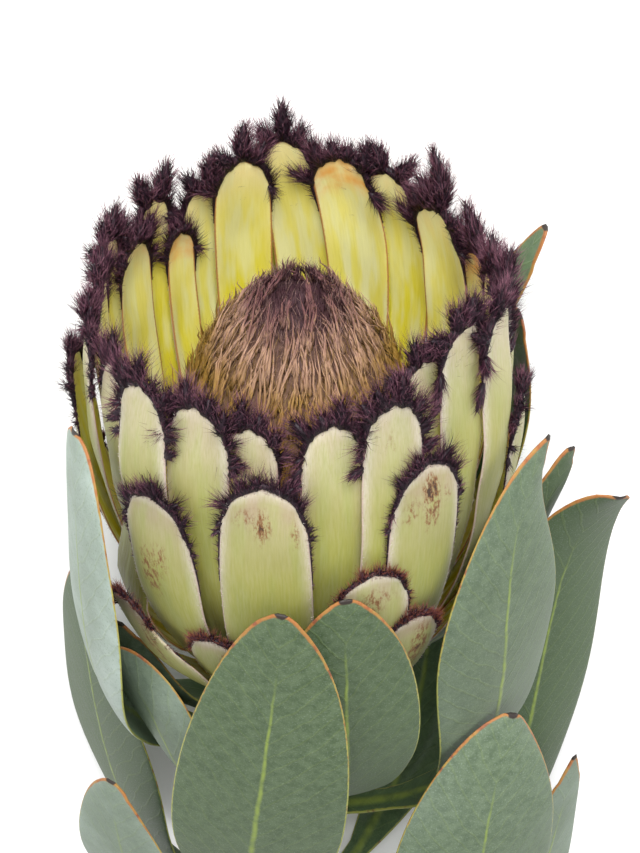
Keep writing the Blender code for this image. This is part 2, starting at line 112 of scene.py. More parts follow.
def turned_faces(rings: int, sides: int) -> list[list[int]]:
    """The faces of a closed turned form, whose two end points come after its rings.

    Args:
        rings: How many rings of vertices it has.
        sides: How many vertices a ring has.

    Returns:
        The faces between the rings, then those round the first end and those round the last.
    """
    index = np.arange(rings * sides).reshape(rings, sides)
    following = np.roll(index, -1, axis=1)
    first, last = rings * sides, rings * sides + 1
    faces = ring_quads(index).tolist()
    faces += [[first, int(b), int(a)] for a, b in zip(index[0], following[0])]
    return faces + [[last, int(a), int(b)] for a, b in zip(index[-1], following[-1])]


@dataclass(frozen=True)
class Laying:
    """How the upright flower is laid on its back, with the cut end of its stem on the surface."""

    axis_tilt: float = math.radians(12.3)
    rest_height: float = 0.040
    stem_length: float = 0.150
    stem_cut_radius: float = 0.0046

    def matrix(self) -> Matrix:
        """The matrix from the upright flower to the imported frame."""
        low_point = self.stem_cut_radius * math.cos(self.axis_tilt)
        axis_height = low_point + (self.stem_length + self.rest_height) * math.sin(self.axis_tilt)
        turn = Matrix.Rotation(self.axis_tilt - math.pi / 2, 4, "X")
        return Matrix.Translation((0, 0, axis_height)) @ turn @ Matrix.Translation((0, 0, -self.rest_height))

    def points(self, upright: Field) -> Field:
        """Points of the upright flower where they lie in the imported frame."""
        matrix = np.array(self.matrix())
        return upright @ matrix[:3, :3].T + matrix[:3, 3]

    def directions(self, upright: Field) -> Field:
        """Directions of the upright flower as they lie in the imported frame."""
        return upright @ np.array(self.matrix())[:3, :3].T


LAYING = Laying()

OLIVE_STREAK = (0.16, 0.13, 0.03)
BLACKENED = (0.035, 0.025, 0.020)
MARGIN_BROWN = (0.16, 0.05, 0.03)
LEAF_TIP_BLACK = (0.022, 0.014, 0.011)
LEAF_GLOW = (0.20, 0.42, 0.03)
# Painted highlight along the floret strands.
PAINTED_STRAND_HIGHLIGHT = (0.50, 0.35, 0.13)
BARK_GROOVE = (0.09, 0.06, 0.03)
CUT_EDGE = (0.16, 0.14, 0.06)
MOTTLE_GREY = (0.80, 0.80, 0.80)


class Slot(Enum):
    """The record's material slots."""

    BRACT = "bract_skin"
    FLORET = "floret_hair"
    LEAF = "leaf_skin"
    STEM = "stem_bark"


class Graph:
    """Adds nodes to a tree and joins them, with a value or a socket for each input."""

    def __init__(self, tree: Tree) -> None:
        """Keeps the tree that the nodes go into."""
        self.tree = tree

    def feed(self, socket: Socket, value: object) -> None:
        """Links a socket to an input, or sets the input's own value.

        Args:
            socket: The input.
            value: A socket, a number, a vector or a colour without its fourth part.
        """
        if isinstance(value, Socket):
            self.tree.links.new(value, socket)
        elif isinstance(value, tuple) and len(value) == 3 and len(socket.default_value) == 4:
            socket.default_value = (*value, 1.0)
        else:
            socket.default_value = value

    def add(self, kind: str, inputs: dict | None = None, **settings: object) -> Node:
        """Adds a node.

        Args:
            kind: The node's type.
            inputs: A value or a socket for each input, by name or number.
            settings: The node's own settings.

        Returns:
            The new node.
        """
        node = self.tree.nodes.new(kind)
        for key, value in settings.items():
            setattr(node, key, value)
        for key, value in (inputs or {}).items():
            self.feed(node.inputs[key], value)
        return node

    def number(self, kind: str, *values: object) -> Socket:
        """One step of arithmetic on numbers."""
        return self.add("ShaderNodeMath", dict(enumerate(values)), operation=kind).outputs[0]

    def plus(self, first: object, second: object) -> Socket:
        """The sum of two numbers."""
        return self.number("ADD", first, second)

    def minus(self, first: object, second: object) -> Socket:
        """The first number less the second."""
        return self.number("SUBTRACT", first, second)

    def times(self, first: object, second: object) -> Socket:
        """The product of two numbers."""
        return self.number("MULTIPLY", first, second)

    def vector(self, kind: str, *values: object) -> Socket:
        """One step of arithmetic on vectors."""
        return self.add("ShaderNodeVectorMath", dict(enumerate(values)), operation=kind).outputs[0]

    def scaled(self, vector: object, share: object) -> Socket:
        """A vector made longer or shorter."""
        return self.add("ShaderNodeVectorMath", {0: vector, "Scale": share}, operation="SCALE").outputs[0]

    def ease(self, value: object, low: object, high: object, start: float = 0.0, end: float = 1.0) -> object:
        """An even S from start to end as the value goes from low to high."""
        wanted = {"Value": value, 1: low, 2: high, 3: start, 4: end}
        return self.add("ShaderNodeMapRange", wanted, interpolation_type="SMOOTHSTEP").outputs[0]

    def blend(self, share: object, first: object, second: object) -> Socket:
        """A mix of two colours."""
        return self.add("ShaderNodeMix", {0: share, 6: first, 7: second}, data_type="RGBA").outputs[2]

    def over(
        self, colour: Socket, other: object, value: Socket, low: float, high: float, most: float = 1.0
    ) -> Socket:
        """The colour with another laid over it, up to most of it as the value goes from low to high."""
        return self.blend(self.ease(value, low, high, 0.0, most), colour, other)

    def noise(self, vector: object, scale: object, detail: float = 2.0, rough: float = 0.5) -> object:
        """Soft noise between 0 and 1."""
        wanted = {"Vector": vector, "Scale": scale, "Detail": detail, "Roughness": rough}
        return self.add("ShaderNodeTexNoise", wanted).outputs[0]

    def ramp(self, share: object, stops: tuple[tuple[float, Colour], ...]) -> Socket:
        """A colour that changes along its stops.

        Args:
            share: Where on the ramp, from 0 to 1.
            stops: The position and colour of each stop, in order.

        Returns:
            The colour's socket.
        """
        node = self.add("ShaderNodeValToRGB", {0: share})
        band = node.color_ramp
        band.interpolation = "EASE"
        while len(band.elements) < len(stops):
            band.elements.new(0.5)
        for element, (position, colour) in zip(band.elements, stops):
            element.position = position
            element.color = (*colour, 1.0)
        return node.outputs[0]

    def attribute(self, name: str, vector: bool = False) -> Socket:
        """A value that the piece's mesh carries."""
        node = self.add("ShaderNodeAttribute", attribute_name=name)
        return node.outputs["Vector" if vector else "Fac"]


class Effects:
    """The shader node groups that more than one finish uses, each built once."""

    groups: dict[str, Tree] = {}

    @classmethod
    def start(cls, name: str, inputs: dict[str, object], outputs: tuple[str, ...]) -> tuple:
        """Starts a group.

        Args:
            name: The group's name.
            inputs: The default of each input, a number or a vector.
            outputs: The names of the outputs, all numbers.

        Returns:
            The tree's graph, its input node and its output node.
        """
        tree = bpy.data.node_groups.new(name, "ShaderNodeTree")
        for key, default in inputs.items():
            kind = "NodeSocketVector" if isinstance(default, tuple) else "NodeSocketFloat"
            socket = tree.interface.new_socket(key, in_out="INPUT", socket_type=kind)
            socket.default_value = default
        for key in outputs:
            tree.interface.new_socket(key, in_out="OUTPUT", socket_type="NodeSocketFloat")
        graph = Graph(tree)
        cls.groups[name] = tree
        return graph, graph.add("NodeGroupInput"), graph.add("NodeGroupOutput")

    @classmethod
    def fibres(cls) -> Tree:
        """Fine streaks along a blade: Place, Streaks per metre across and how many times longer they are."""
        if "fibres" not in cls.groups:
            wanted = {"Place": (0.0, 0.0, 0.0), "Streaks": 2200.0, "Stretch": 14.0, "Contrast": 1.0}
            graph, start, end = cls.start("fibres", wanted, ("Mask",))
            apart = graph.add("ShaderNodeSeparateXYZ", {0: start.outputs["Place"]})
            down = graph.number("DIVIDE", apart.outputs[1], start.outputs["Stretch"])
            parts = {0: apart.outputs[0], 1: down, 2: apart.outputs[2]}
            spot = graph.add("ShaderNodeCombineXYZ", parts).outputs[0]
            fine = graph.noise(spot, start.outputs["Streaks"], 3.0, 0.6)
            centred = graph.minus(fine, 0.5)
            strong = graph.number("MULTIPLY_ADD", centred, start.outputs["Contrast"], 0.5)
            graph.feed(end.inputs["Mask"], strong)
        return cls.groups["fibres"]

    @classmethod
    def margin(cls) -> Tree:
        """A band along a blade's margin, with a ragged inner side: Edge is the distance to the margin."""
        if "margin" not in cls.groups:
            wanted = {"Place": (0.0, 0.0, 0.0), "Edge": 0.0, "Width": 0.0005}
            wanted |= {"Rag": 0.0004, "Rag Scale": 1800.0}
            graph, start, end = cls.start("margin", wanted, ("Mask",))
            ragged = graph.noise(start.outputs["Place"], start.outputs["Rag Scale"], 3.0, 0.65)
            shift = graph.times(graph.minus(ragged, 0.5), start.outputs["Rag"])
            distance = graph.plus(start.outputs["Edge"], shift)
            near = graph.times(start.outputs["Width"], 0.55)
            band = graph.ease(distance, near, start.outputs["Width"], 1.0, 0.0)
            graph.feed(end.inputs["Mask"], band)
        return cls.groups["margin"]

    @classmethod
    def specks(cls) -> Tree:
        """Scattered specks with soft sides: Cover is the share of the surface under them."""
        if "specks" not in cls.groups:
            wanted = {"Place": (0.0, 0.0, 0.0), "Scale": 2500.0, "Cover": 0.3, "Soft": 0.08}
            graph, start, end = cls.start("specks", wanted, ("Mask",))
            fine = graph.noise(start.outputs["Place"], start.outputs["Scale"], 3.0, 0.6)
            level = graph.number("MULTIPLY_ADD", start.outputs["Cover"], -0.5, 0.75)
            high = graph.plus(level, start.outputs["Soft"])
            graph.feed(end.inputs["Mask"], graph.ease(fine, level, high))
        return cls.groups["specks"]


class Finish:
    """What every finish does: a material with a tree, and the shared effects placed in it."""

    @staticmethod
    def begin(name: str, colour: Colour) -> tuple[Material, Graph, Node]:
        """Starts a material.

        Args:
            name: The material's name.
            colour: Its plain colour in the viewport.

        Returns:
            The material, its graph and its Principled node.
        """
        material = bpy.data.materials.new(name)
        material.use_nodes = True
        material.diffuse_color = (*colour, 1.0)
        return material, Graph(material.node_tree), material.node_tree.nodes["Principled BSDF"]

    @staticmethod
    def effect(graph: Graph, tree: Tree, **values: object) -> Socket:
        """Places a shared effect and gives its mask. An underscore in a value's name stands for a space."""
        node = graph.add("ShaderNodeGroup", node_tree=tree)
        for key, value in values.items():
            graph.feed(node.inputs[key.replace("_", " ")], value)
        return node.outputs["Mask"]

    @staticmethod
    def dress(graph: Graph, shader: Node, **values: object) -> None:
        """Feeds the shader's inputs. An underscore in a value's name stands for a space."""
        for key, value in values.items():
            graph.feed(shader.inputs[key.replace("_", " ")], value)

    @staticmethod
    def bumps(graph: Graph, strength: float, distance: float, height: object) -> Socket:
        """The small bumps of a surface, from a height between 0 and 1."""
        wanted = {"Strength": strength, "Distance": distance, "Height": height}
        return graph.add("ShaderNodeBump", wanted).outputs[0]

    @staticmethod
    def let_through(graph: Graph, shader: Node, colour: object, share: float) -> None:
        """Lets a share of the light through a thin blade.

        Args:
            graph: The material's graph.
            shader: Its Principled node.
            colour: What the light is tinted by.
            share: How much of the surface is see-through to light.
        """
        through = graph.add("ShaderNodeBsdfTranslucent", {"Color": colour})
        both = graph.add("ShaderNodeMixShader", {0: share, 1: shader.outputs[0], 2: through.outputs[0]})
        output = graph.tree.nodes["Material Output"]
        graph.feed(output.inputs["Surface"], both.outputs[0])


@dataclass(frozen=True)
class BractFinish(Finish):
    """One face of the bracts: its colours from foot to tip, its silk, its ragged margin and its stains."""

    name: str
    stops: tuple[tuple[float, Colour], ...]
    other: Colour
    silk: Colour
    silk_share: float
    margin: Colour
    margin_width: float
    margin_rag: float
    stain: Colour
    tip: Colour
    tip_share: float
    roughness: float
    through: float
    sheen: float
    streak: float

    def make(self) -> Material:
        """The material, from the values that each blade carries."""
        material, graph, shader = self.begin(self.name, self.stops[1][1])
        place = graph.attribute("place", vector=True)
        edge = graph.attribute("edge")
        colour = graph.ramp(graph.attribute("share"), self.stops)
        # Each blade's own tone (pale), with lengthwise bands of painted light and shade for folds that the
        # blade doesn't have.
        painted_fold_shade = graph.noise(graph.vector("MULTIPLY", place, (1.0, 0.16, 1.0)), 300.0, 2.0)
        broad = graph.plus(graph.attribute("pale"), graph.ease(painted_fold_shade, 0.40, 0.64, -0.35, 0.45))
        broad = graph.number("MAXIMUM", broad, 0.0)
        colour = graph.blend(graph.number("MINIMUM", broad, 1.0), colour, self.other)
        streaks = self.effect(graph, Effects.fibres(), Place=place, Contrast=0.9)
        colour = graph.over(colour, OLIVE_STREAK, streaks, 0.40, 0.75, self.streak)
        colour = graph.over(colour, self.silk, streaks, 0.60, 0.30, self.streak)
        ends = graph.times(graph.attribute("warm"), graph.noise(place, 260.0, 2.0))
        colour = graph.over(colour, self.tip, ends, 0.12, 0.6, self.tip_share)
        silk = self.effect(graph, Effects.fibres(), Place=place, Streaks=3600.0, Stretch=9.0, Contrast=1.8)
        bloom = graph.times(graph.attribute("bloom"), graph.ease(silk, 0.05, 0.75, 0.45, 1.0))
        colour = graph.blend(graph.times(bloom, self.silk_share), colour, self.silk)
        rough_mark = graph.noise(graph.vector("MULTIPLY", place, (1.0, 0.35, 1.0)), 1100.0, 5.0, 0.75)
        strong = graph.ease(rough_mark, 0.40, 0.66)
        worn = graph.times(graph.attribute("mark"), graph.plus(strong, 0.12))
        colour = graph.over(colour, self.stain, worn, 0.10, 0.75, 0.9)
        colour = graph.over(colour, BLACKENED, worn, 0.80, 1.25, 0.85)
        band = self.effect(
            graph, Effects.margin(), Place=place, Edge=edge, Width=self.margin_width, Rag=self.margin_rag
        )
        colour = graph.blend(graph.times(band, 0.9), colour, self.margin)
        rough = graph.ease(streaks, 0.2, 0.8, self.roughness, self.roughness + 0.15)
        self.dress(graph, shader, Base_Color=colour, Roughness=rough, Specular_IOR_Level=0.35,
                   Normal=self.bumps(graph, 0.35, 0.0004, streaks), Sheen_Weight=self.sheen,
                   Sheen_Roughness=0.4)
        self.let_through(graph, shader, colour, self.through)
        return material


BRACT_OUTSIDE = BractFinish(
    name="bract_outside",
    stops=(
        (0.0, (0.10, 0.085, 0.018)),
        (0.30, (0.21, 0.205, 0.035)),
        (0.60, (0.385, 0.39, 0.085)),
        (0.84, (0.38, 0.365, 0.130)),
        (1.0, (0.40, 0.345, 0.185)),
    ),
    other=(0.35, 0.37, 0.10),
    silk=(0.66, 0.60, 0.52),
    silk_share=0.90,
    margin=(0.62, 0.50, 0.44),
    margin_width=0.0004,
    margin_rag=0.0007,
    stain=(0.23, 0.085, 0.028),
    tip=(0.36, 0.25, 0.16),
    tip_share=0.6,
    roughness=0.42,
    through=0.34,
    sheen=0.08,
    streak=0.09,
)
# The inner face's yellow is its own colour, drawn brighter than it is: a painted glow for light shining
# through the bracts from behind.
BRACT_INSIDE = BractFinish(
    name="bract_inside_painted_glow",
    stops=(
        (0.0, (0.50, 0.40, 0.02)),
        (0.40, (0.78, 0.66, 0.02)),
        (0.64, (0.92, 0.82, 0.06)),
        (0.86, (0.94, 0.85, 0.18)),
        (1.0, (0.94, 0.82, 0.36)),
    ),
    other=(0.94, 0.91, 0.46),
    silk=(0.95, 0.92, 0.66),
    silk_share=0.25,
    margin=(0.52, 0.22, 0.07),
    margin_width=0.0004,
    margin_rag=0.0003,
    stain=(0.28, 0.15, 0.05),
    tip=(0.92, 0.43, 0.04),
    tip_share=1.0,
    roughness=0.34,
    through=0.42,
    sheen=0.0,
    streak=0.07,
)


@dataclass(frozen=True)
class LeafFinish(Finish):
    """One face of the leaves: green under a waxy bloom, with a pale midrib and a yellow to red margin.

    Part of the bloom is a painted sheen, and the darker leaves carry painted shade.
    """

    name: str
    green: Colour
    deep: Colour
    wax_and_painted_light: Colour
    midrib: Colour
    midrib_half: float
    margin_foot: Colour
    margin_tip: Colour
    margin_width: float
    roughness: float
    through: float
    midrib_end: tuple[float, float] = (0.92, 0.74)
    midrib_waver: float = 0.0009
    vein_gap: float = 0.0065
    vein_waver: float = 0.007

    def make(self) -> Material:
        """The material, from the values that each blade carries."""
        material, graph, shader = self.begin(self.name, self.green)
        place = graph.attribute("place", vector=True)
        edge = graph.attribute("edge")
        share = graph.attribute("share")
        across = graph.add("ShaderNodeSeparateXYZ", {0: place}).outputs[0]
        mottle = graph.noise(place, 520.0, 5.0, 0.7)
        colour = graph.blend(graph.ease(mottle, 0.30, 0.66), self.deep, self.green)
        # Painted shade: a leaf with shade is drawn darker, towards the deep green.
        colour = graph.blend(graph.attribute("shade"), colour, self.deep)
        # The pale wax colour, laid by the bloom: in part the leaf's waxy bloom, in part a painted sheen.
        wax_and_painted_light = graph.attribute("bloom")
        patches = graph.ease(graph.noise(place, 70.0, 5.0, 0.6), 0.35, 0.7, 0.60, 1.0)
        colour = graph.blend(graph.times(wax_and_painted_light, patches), colour, self.wax_and_painted_light)
        pale = self.effect(graph, Effects.specks(), Place=place, Scale=2600.0, Cover=0.42, Soft=0.12)
        colour = graph.blend(graph.times(pale, 0.14), colour, self.wax_and_painted_light)
        dark = self.effect(graph, Effects.specks(), Place=graph.vector("ADD", place, (3.0, 1.0, 2.0)),
                           Scale=1700.0, Cover=0.38, Soft=0.12)
        colour = graph.blend(graph.times(dark, 0.34), colour, self.deep)
        waver = self.midrib_waver
        wobble = graph.number("MULTIPLY_ADD", graph.noise(place, 120.0, 2.0), waver, -waver / 2)
        off_midrib = graph.number("ABSOLUTE", graph.plus(across, wobble))
        half = graph.ease(share, 0.05, 1.0, self.midrib_half * 1.5, self.midrib_half * 0.4)
        inner, outer = graph.times(half, 0.2), graph.times(half, 1.9)
        rib = graph.ease(off_midrib, inner, outer, 1.0, 0.0)
        broken = graph.ease(graph.noise(place, 260.0, 3.0), 0.30, 0.62, 0.35, 0.85)
        rib = graph.times(graph.times(rib, broken), graph.ease(share, *self.midrib_end, 0.0, 1.0))
        colour = graph.blend(rib, colour, self.midrib)
        veins = self.side_veins(graph, place, across)
        colour = graph.blend(graph.times(veins, 0.09), colour, self.midrib)
        worn = graph.noise(place, 420.0, 3.0, 0.6)
        rim = graph.blend(graph.ease(graph.plus(share, graph.times(worn, 0.5)), 0.85, 1.3),
                          self.margin_foot, self.margin_tip)
        rim = graph.over(rim, MARGIN_BROWN, worn, 0.55, 0.68, 0.7)
        broad = graph.ease(share, 0.86, 1.0, self.margin_width, self.margin_width * 3.0)
        band = self.effect(graph, Effects.margin(), Place=place, Edge=edge, Width=broad, Rag=0.0006,
                           Rag_Scale=500.0)
        colour = graph.blend(band, colour, rim)
        marked = graph.plus(graph.attribute("mark"), graph.minus(worn, 0.5))
        colour = graph.over(colour, LEAF_TIP_BLACK, marked, 0.35, 0.60)
        rough = graph.ease(mottle, 0.3, 0.7, self.roughness, self.roughness + 0.12)
        relief = graph.plus(graph.times(rib, 0.8), graph.times(veins, 0.35))
        relief = graph.plus(relief, graph.times(mottle, 0.25))
        self.dress(graph, shader, Base_Color=colour, Roughness=rough, Specular_IOR_Level=0.4,
                   Normal=self.bumps(graph, 0.5, 0.0003, relief))
        self.let_through(graph, shader, graph.blend(0.5, colour, LEAF_GLOW), self.through)
        return material

    def side_veins(self, graph: Graph, place: object, across: object) -> Socket:
        """Faint veins that leave the midrib and run to the margin at a steep slant.

        Args:
            graph: The material's graph.
            place: The blade's own coordinates.
            across: The first of them.

        Returns:
            The veins' mask.
        """
        apart = graph.add("ShaderNodeSeparateXYZ", {0: place})
        bent = graph.times(graph.number("ABSOLUTE", across), -1.5)
        line = graph.plus(apart.outputs[1], bent)
        uneven = graph.number("MULTIPLY_ADD", graph.noise(place, 110.0, 3.0), self.vein_waver, line)
        wave = graph.number("SINE", graph.times(uneven, 2 * math.pi / self.vein_gap))
        return graph.ease(wave, 0.86, 1.0)


LEAF_OUTSIDE = LeafFinish(
    name="leaf_outside",
    green=(0.088, 0.128, 0.064),
    deep=(0.042, 0.072, 0.028),
    wax_and_painted_light=(0.44, 0.52, 0.48),
    midrib=(0.22, 0.29, 0.05),
    midrib_half=0.0005,
    margin_foot=(0.30, 0.32, 0.07),
    margin_tip=(0.31, 0.11, 0.03),
    margin_width=0.00036,
    roughness=0.50,
    through=0.10,
)
LEAF_INSIDE = LeafFinish(
    name="leaf_inside",
    green=(0.070, 0.125, 0.042),
    deep=(0.036, 0.073, 0.022),
    wax_and_painted_light=(0.26, 0.34, 0.25),
    midrib=(0.22, 0.29, 0.05),
    midrib_half=0.0006,
    margin_foot=(0.30, 0.32, 0.07),
    margin_tip=(0.31, 0.11, 0.03),
    margin_width=0.0004,
    roughness=0.40,
    through=0.14,
)


@dataclass(frozen=True)
class HairFinish(Finish):
    """Fine hairs in one colour, with a soft shine along them."""

    name: str
    colour: Colour
    roughness: float = 0.55

    def make(self) -> Material:
        """The material, with its constants on the shader's own sockets."""
        material, graph, shader = self.begin(self.name, self.colour)
        self.dress(graph, shader, Base_Color=self.colour, Roughness=self.roughness, Specular_IOR_Level=0.3)
        return material


@dataclass(frozen=True)
class ConeFinish(Finish):
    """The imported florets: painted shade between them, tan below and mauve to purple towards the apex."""

    name: str
    low: Colour
    middle: Colour
    high: Colour
    painted_gap_shade: Colour
    from_height: float
    to_height: float
    streaks: float
    shine: float
    waver: float = 0.010

    def make(self) -> Material:
        """The material, graded along the flower's axis."""
        material, graph, shader = self.begin(self.name, self.middle)
        spot = graph.add("ShaderNodeTexCoord").outputs["Object"]
        axis = LAYING.directions(np.array([0.0, 0.0, 1.0]))
        foot = LAYING.points(np.array([0.0, 0.0, 0.0]))
        from_foot = graph.vector("SUBTRACT", spot, tuple(float(v) for v in foot))
        dot = graph.add("ShaderNodeVectorMath", {0: from_foot, 1: tuple(float(v) for v in axis)},
                        operation="DOT_PRODUCT").outputs["Value"]
        uneven = graph.number("MULTIPLY_ADD", graph.noise(spot, 260.0, 3.0), self.waver, dot)
        half = self.waver / 2
        share = graph.ease(uneven, self.from_height + half, self.to_height + half)
        colour = graph.ramp(share, ((0.0, self.low), (0.55, self.middle), (1.0, self.high)))
        fine = graph.noise(graph.vector("MULTIPLY", spot, (1.0, 0.16, 1.0)), self.streaks, 3.0, 0.6)
        # Painted shade: dark streaks between the strands.
        colour = graph.over(colour, self.painted_gap_shade, fine, 0.50, 0.75, 0.55)
        # Painted highlight: pale streaks along the strands, up to shine of them.
        colour = graph.over(colour, PAINTED_STRAND_HIGHLIGHT, fine, 0.46, 0.28, self.shine)
        rough = graph.ease(fine, 0.3, 0.7, 0.55, 0.8)
        self.dress(graph, shader, Base_Color=colour, Roughness=rough, Specular_IOR_Level=0.2,
                   Normal=self.bumps(graph, 0.6, 0.0004, fine))
        return material


@dataclass(frozen=True)
class BarkFinish(Finish):
    """The stem's skin: green-brown with reddish patches, ridges along it and pale pores."""

    name: str
    green: Colour
    brown: Colour
    pore: Colour

    def make(self) -> Material:
        """The material, on the piece's own coordinates."""
        material, graph, shader = self.begin(self.name, self.brown)
        spot = graph.add("ShaderNodeTexCoord").outputs["Object"]
        patches = graph.ease(graph.noise(spot, 110.0, 4.0, 0.6), 0.38, 0.62)
        colour = graph.blend(patches, self.green, self.brown)
        ridges = graph.noise(graph.vector("MULTIPLY", spot, (1.0, 0.10, 1.0)), 1500.0, 3.0, 0.6)
        colour = graph.over(colour, BARK_GROOVE, ridges, 0.45, 0.75, 0.6)
        pores = self.effect(graph, Effects.specks(), Place=spot, Scale=900.0, Cover=0.22, Soft=0.05)
        colour = graph.blend(graph.times(pores, 0.6), colour, self.pore)
        rough = graph.ease(ridges, 0.3, 0.7, 0.6, 0.85)
        height = graph.plus(ridges, graph.times(pores, 0.6))
        bumps = self.bumps(graph, 0.6, 0.0004, height)
        self.dress(graph, shader, Base_Color=colour, Roughness=rough, Normal=bumps)
        return material


@dataclass(frozen=True)
class CutWoodFinish(Finish):
    """The cut end of the stem: pale wood with a darker pith and rays, drying at the edge."""

    name: str
    wood: Colour
    pith: Colour

    def make(self) -> Material:
        """The material, in rings round the stem's own middle."""
        material, graph, shader = self.begin(self.name, self.wood)
        off = graph.attribute("ring")
        spot = graph.add("ShaderNodeTexCoord").outputs["Object"]
        grain = graph.noise(spot, 2600.0, 4.0, 0.6)
        uneven = graph.number("MULTIPLY_ADD", grain, 0.16, off)
        stops = ((0.0, self.pith), (0.24, self.pith), (0.36, self.wood), (0.82, self.wood), (1.0, CUT_EDGE))
        colour = graph.ramp(uneven, stops)
        colour = graph.over(colour, self.pith, grain, 0.5, 0.75, 0.4)
        bumps = self.bumps(graph, 0.5, 0.0002, grain)
        self.dress(graph, shader, Base_Color=colour, Roughness=0.8, Normal=bumps)
        return material


@dataclass(frozen=True)
class FloorFinish(Finish):
    """A plain pale surface with the faintest mottle."""

    name: str
    colour: Colour

    def make(self) -> Material:
        """The material, matt all over."""
        material, graph, shader = self.begin(self.name, self.colour)
        spot = graph.add("ShaderNodeTexCoord").outputs["Object"]
        soft = graph.ease(graph.noise(spot, 6.0, 3.0), 0.3, 0.7, 0.0, 0.03)
        colour = graph.blend(soft, self.colour, MOTTLE_GREY)
        self.dress(graph, shader, Base_Color=colour, Roughness=0.85, Specular_IOR_Level=0.1)
        return material


BLACK_PURPLE = HairFinish("hair_black_purple", (0.012, 0.004, 0.009))
PLUM = HairFinish("hair_plum", (0.060, 0.014, 0.032))
# Mauve is partly the hair's own colour, partly a painted highlight of lit hair ends.
MAUVE = HairFinish("hair_mauve", (0.165, 0.065, 0.090))
SILK_WHITE = HairFinish("hair_silk_white", (0.66, 0.60, 0.54))
SILK_ROSE = HairFinish("hair_silk_rose", (0.42, 0.29, 0.27))
RUST = HairFinish("hair_rust", (0.20, 0.055, 0.030))
CONE_PURPLE = HairFinish("cone_hair_purple", (0.035, 0.010, 0.018))
CONE_MAUVE = HairFinish("cone_hair_mauve", (0.29, 0.175, 0.150))
CONE_TAN = HairFinish("cone_hair_tan", (0.27, 0.160, 0.050))
CONE_STRAW = HairFinish("cone_hair_straw", (0.36, 0.235, 0.060))


class Piece:
    """Turns finished meshes into the scene's pieces."""

    count = 0

    @classmethod
    def put(
        cls,
        mesh: Mesh,
        name: str,
        slot: Slot,
        nodes: tuple[str, ...],
        materials: tuple[Material, ...] = (),
    ) -> None:
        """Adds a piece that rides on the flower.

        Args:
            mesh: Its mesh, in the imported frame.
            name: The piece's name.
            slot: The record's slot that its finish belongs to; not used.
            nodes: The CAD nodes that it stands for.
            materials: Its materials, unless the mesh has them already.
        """
        for material in materials:
            mesh.materials.append(material)
        obj = bpy.data.objects.new(name, mesh)
        bpy.context.scene.collection.objects.link(obj)
        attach(obj, "root")
        if nodes:
            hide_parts(*nodes)
        mesh.calc_loop_triangles()
        cls.count += len(mesh.loop_triangles)
        log.info("%s: %d triangles", name, len(mesh.loop_triangles))

    @staticmethod
    def mesh(name: str, points: Field, faces: list | Field, values: dict[str, Field] | None = None) -> Mesh:
        """A smooth mesh that carries values.

        Args:
            name: The mesh's name.
            points: Its vertices.
            faces: Its faces, as lists of vertex numbers.
            values: A number or a vector for each vertex, by name.

        Returns:
            The mesh.
        """
        mesh = bpy.data.meshes.new(name)
        rows = faces.tolist() if isinstance(faces, np.ndarray) else faces
        mesh.from_pydata(points.reshape(-1, 3).tolist(), [], rows)
        for key, value in (values or {}).items():
            vector = value.ndim > 1 and value.shape[-1] == 3 and value.size == points.size
            kind, field = ("FLOAT_VECTOR", "vector") if vector else ("FLOAT", "value")
            layer = mesh.attributes.new(key, kind, "POINT")
            layer.data.foreach_set(field, np.ascontiguousarray(value, dtype=np.float32).ravel())
        mesh.shade_smooth()
        mesh.update()
        return mesh


class Blade:
    """A thin closed blade round a grid of middle points, whose two faces meet at its margin."""

    apart = 0.37

    @staticmethod
    def normals(grid: Field) -> Field:
        """The outward normal at each point of a grid of rows along the blade and columns across it."""
        along = np.gradient(grid, axis=0)
        across = np.gradient(grid, axis=1)
        return unit(np.cross(across, along))

    @staticmethod
    def place(across: Field, along: Field, number: int) -> Field:
        """A blade's own coordinates in metres, set apart from the other blades' by its number."""
        return np.stack([across, along, np.full_like(along, number * Blade.apart)], axis=-1)

    @classmethod
    def mesh(
        cls, name: str, grid: Field, half: Field, values: dict[str, Field], floor: float | None = None
    ) -> Mesh:
        """The blade's mesh, its outer face in the first material and its inner face in the second.

        Args:
            name: The mesh's name.
            grid: The middle points, rows by columns by 3.
            half: Half the thickness at each of them.
            values: A number or vector at each of them, by name.
            floor: The lowest height that the blade may reach.

        Returns:
            The mesh.
        """
        rows, columns = grid.shape[:2]
        normals = cls.normals(grid)
        inside = np.zeros((rows, columns), dtype=bool)
        inside[1:-1, 1:-1] = True
        outer = np.where(inside[..., None], grid + normals * half[..., None], grid)
        inner = (grid - normals * half[..., None])[inside]
        points = np.concatenate([outer.reshape(-1, 3), inner])
        if floor is not None:
            points[:, 2] = np.maximum(points[:, 2], floor)
        first = np.arange(rows * columns).reshape(rows, columns)
        second = first.copy()
        second[inside] = rows * columns + np.arange(inner.shape[0])
        faces = [grid_quads(first), grid_quads(second)[:, ::-1]]
        carried = {}
        for key, value in values.items():
            flat = value.reshape(rows * columns, -1)
            carried[key] = np.concatenate([flat, value[inside].reshape(inner.shape[0], -1)])
            if flat.shape[1] == 1:
                carried[key] = carried[key].ravel()
        mesh = Piece.mesh(name, points, np.concatenate(faces), carried)
        slots = np.repeat([0, 1], (rows - 1) * (columns - 1)).astype(np.int32)
        mesh.polygons.foreach_set("material_index", slots)
        return mesh


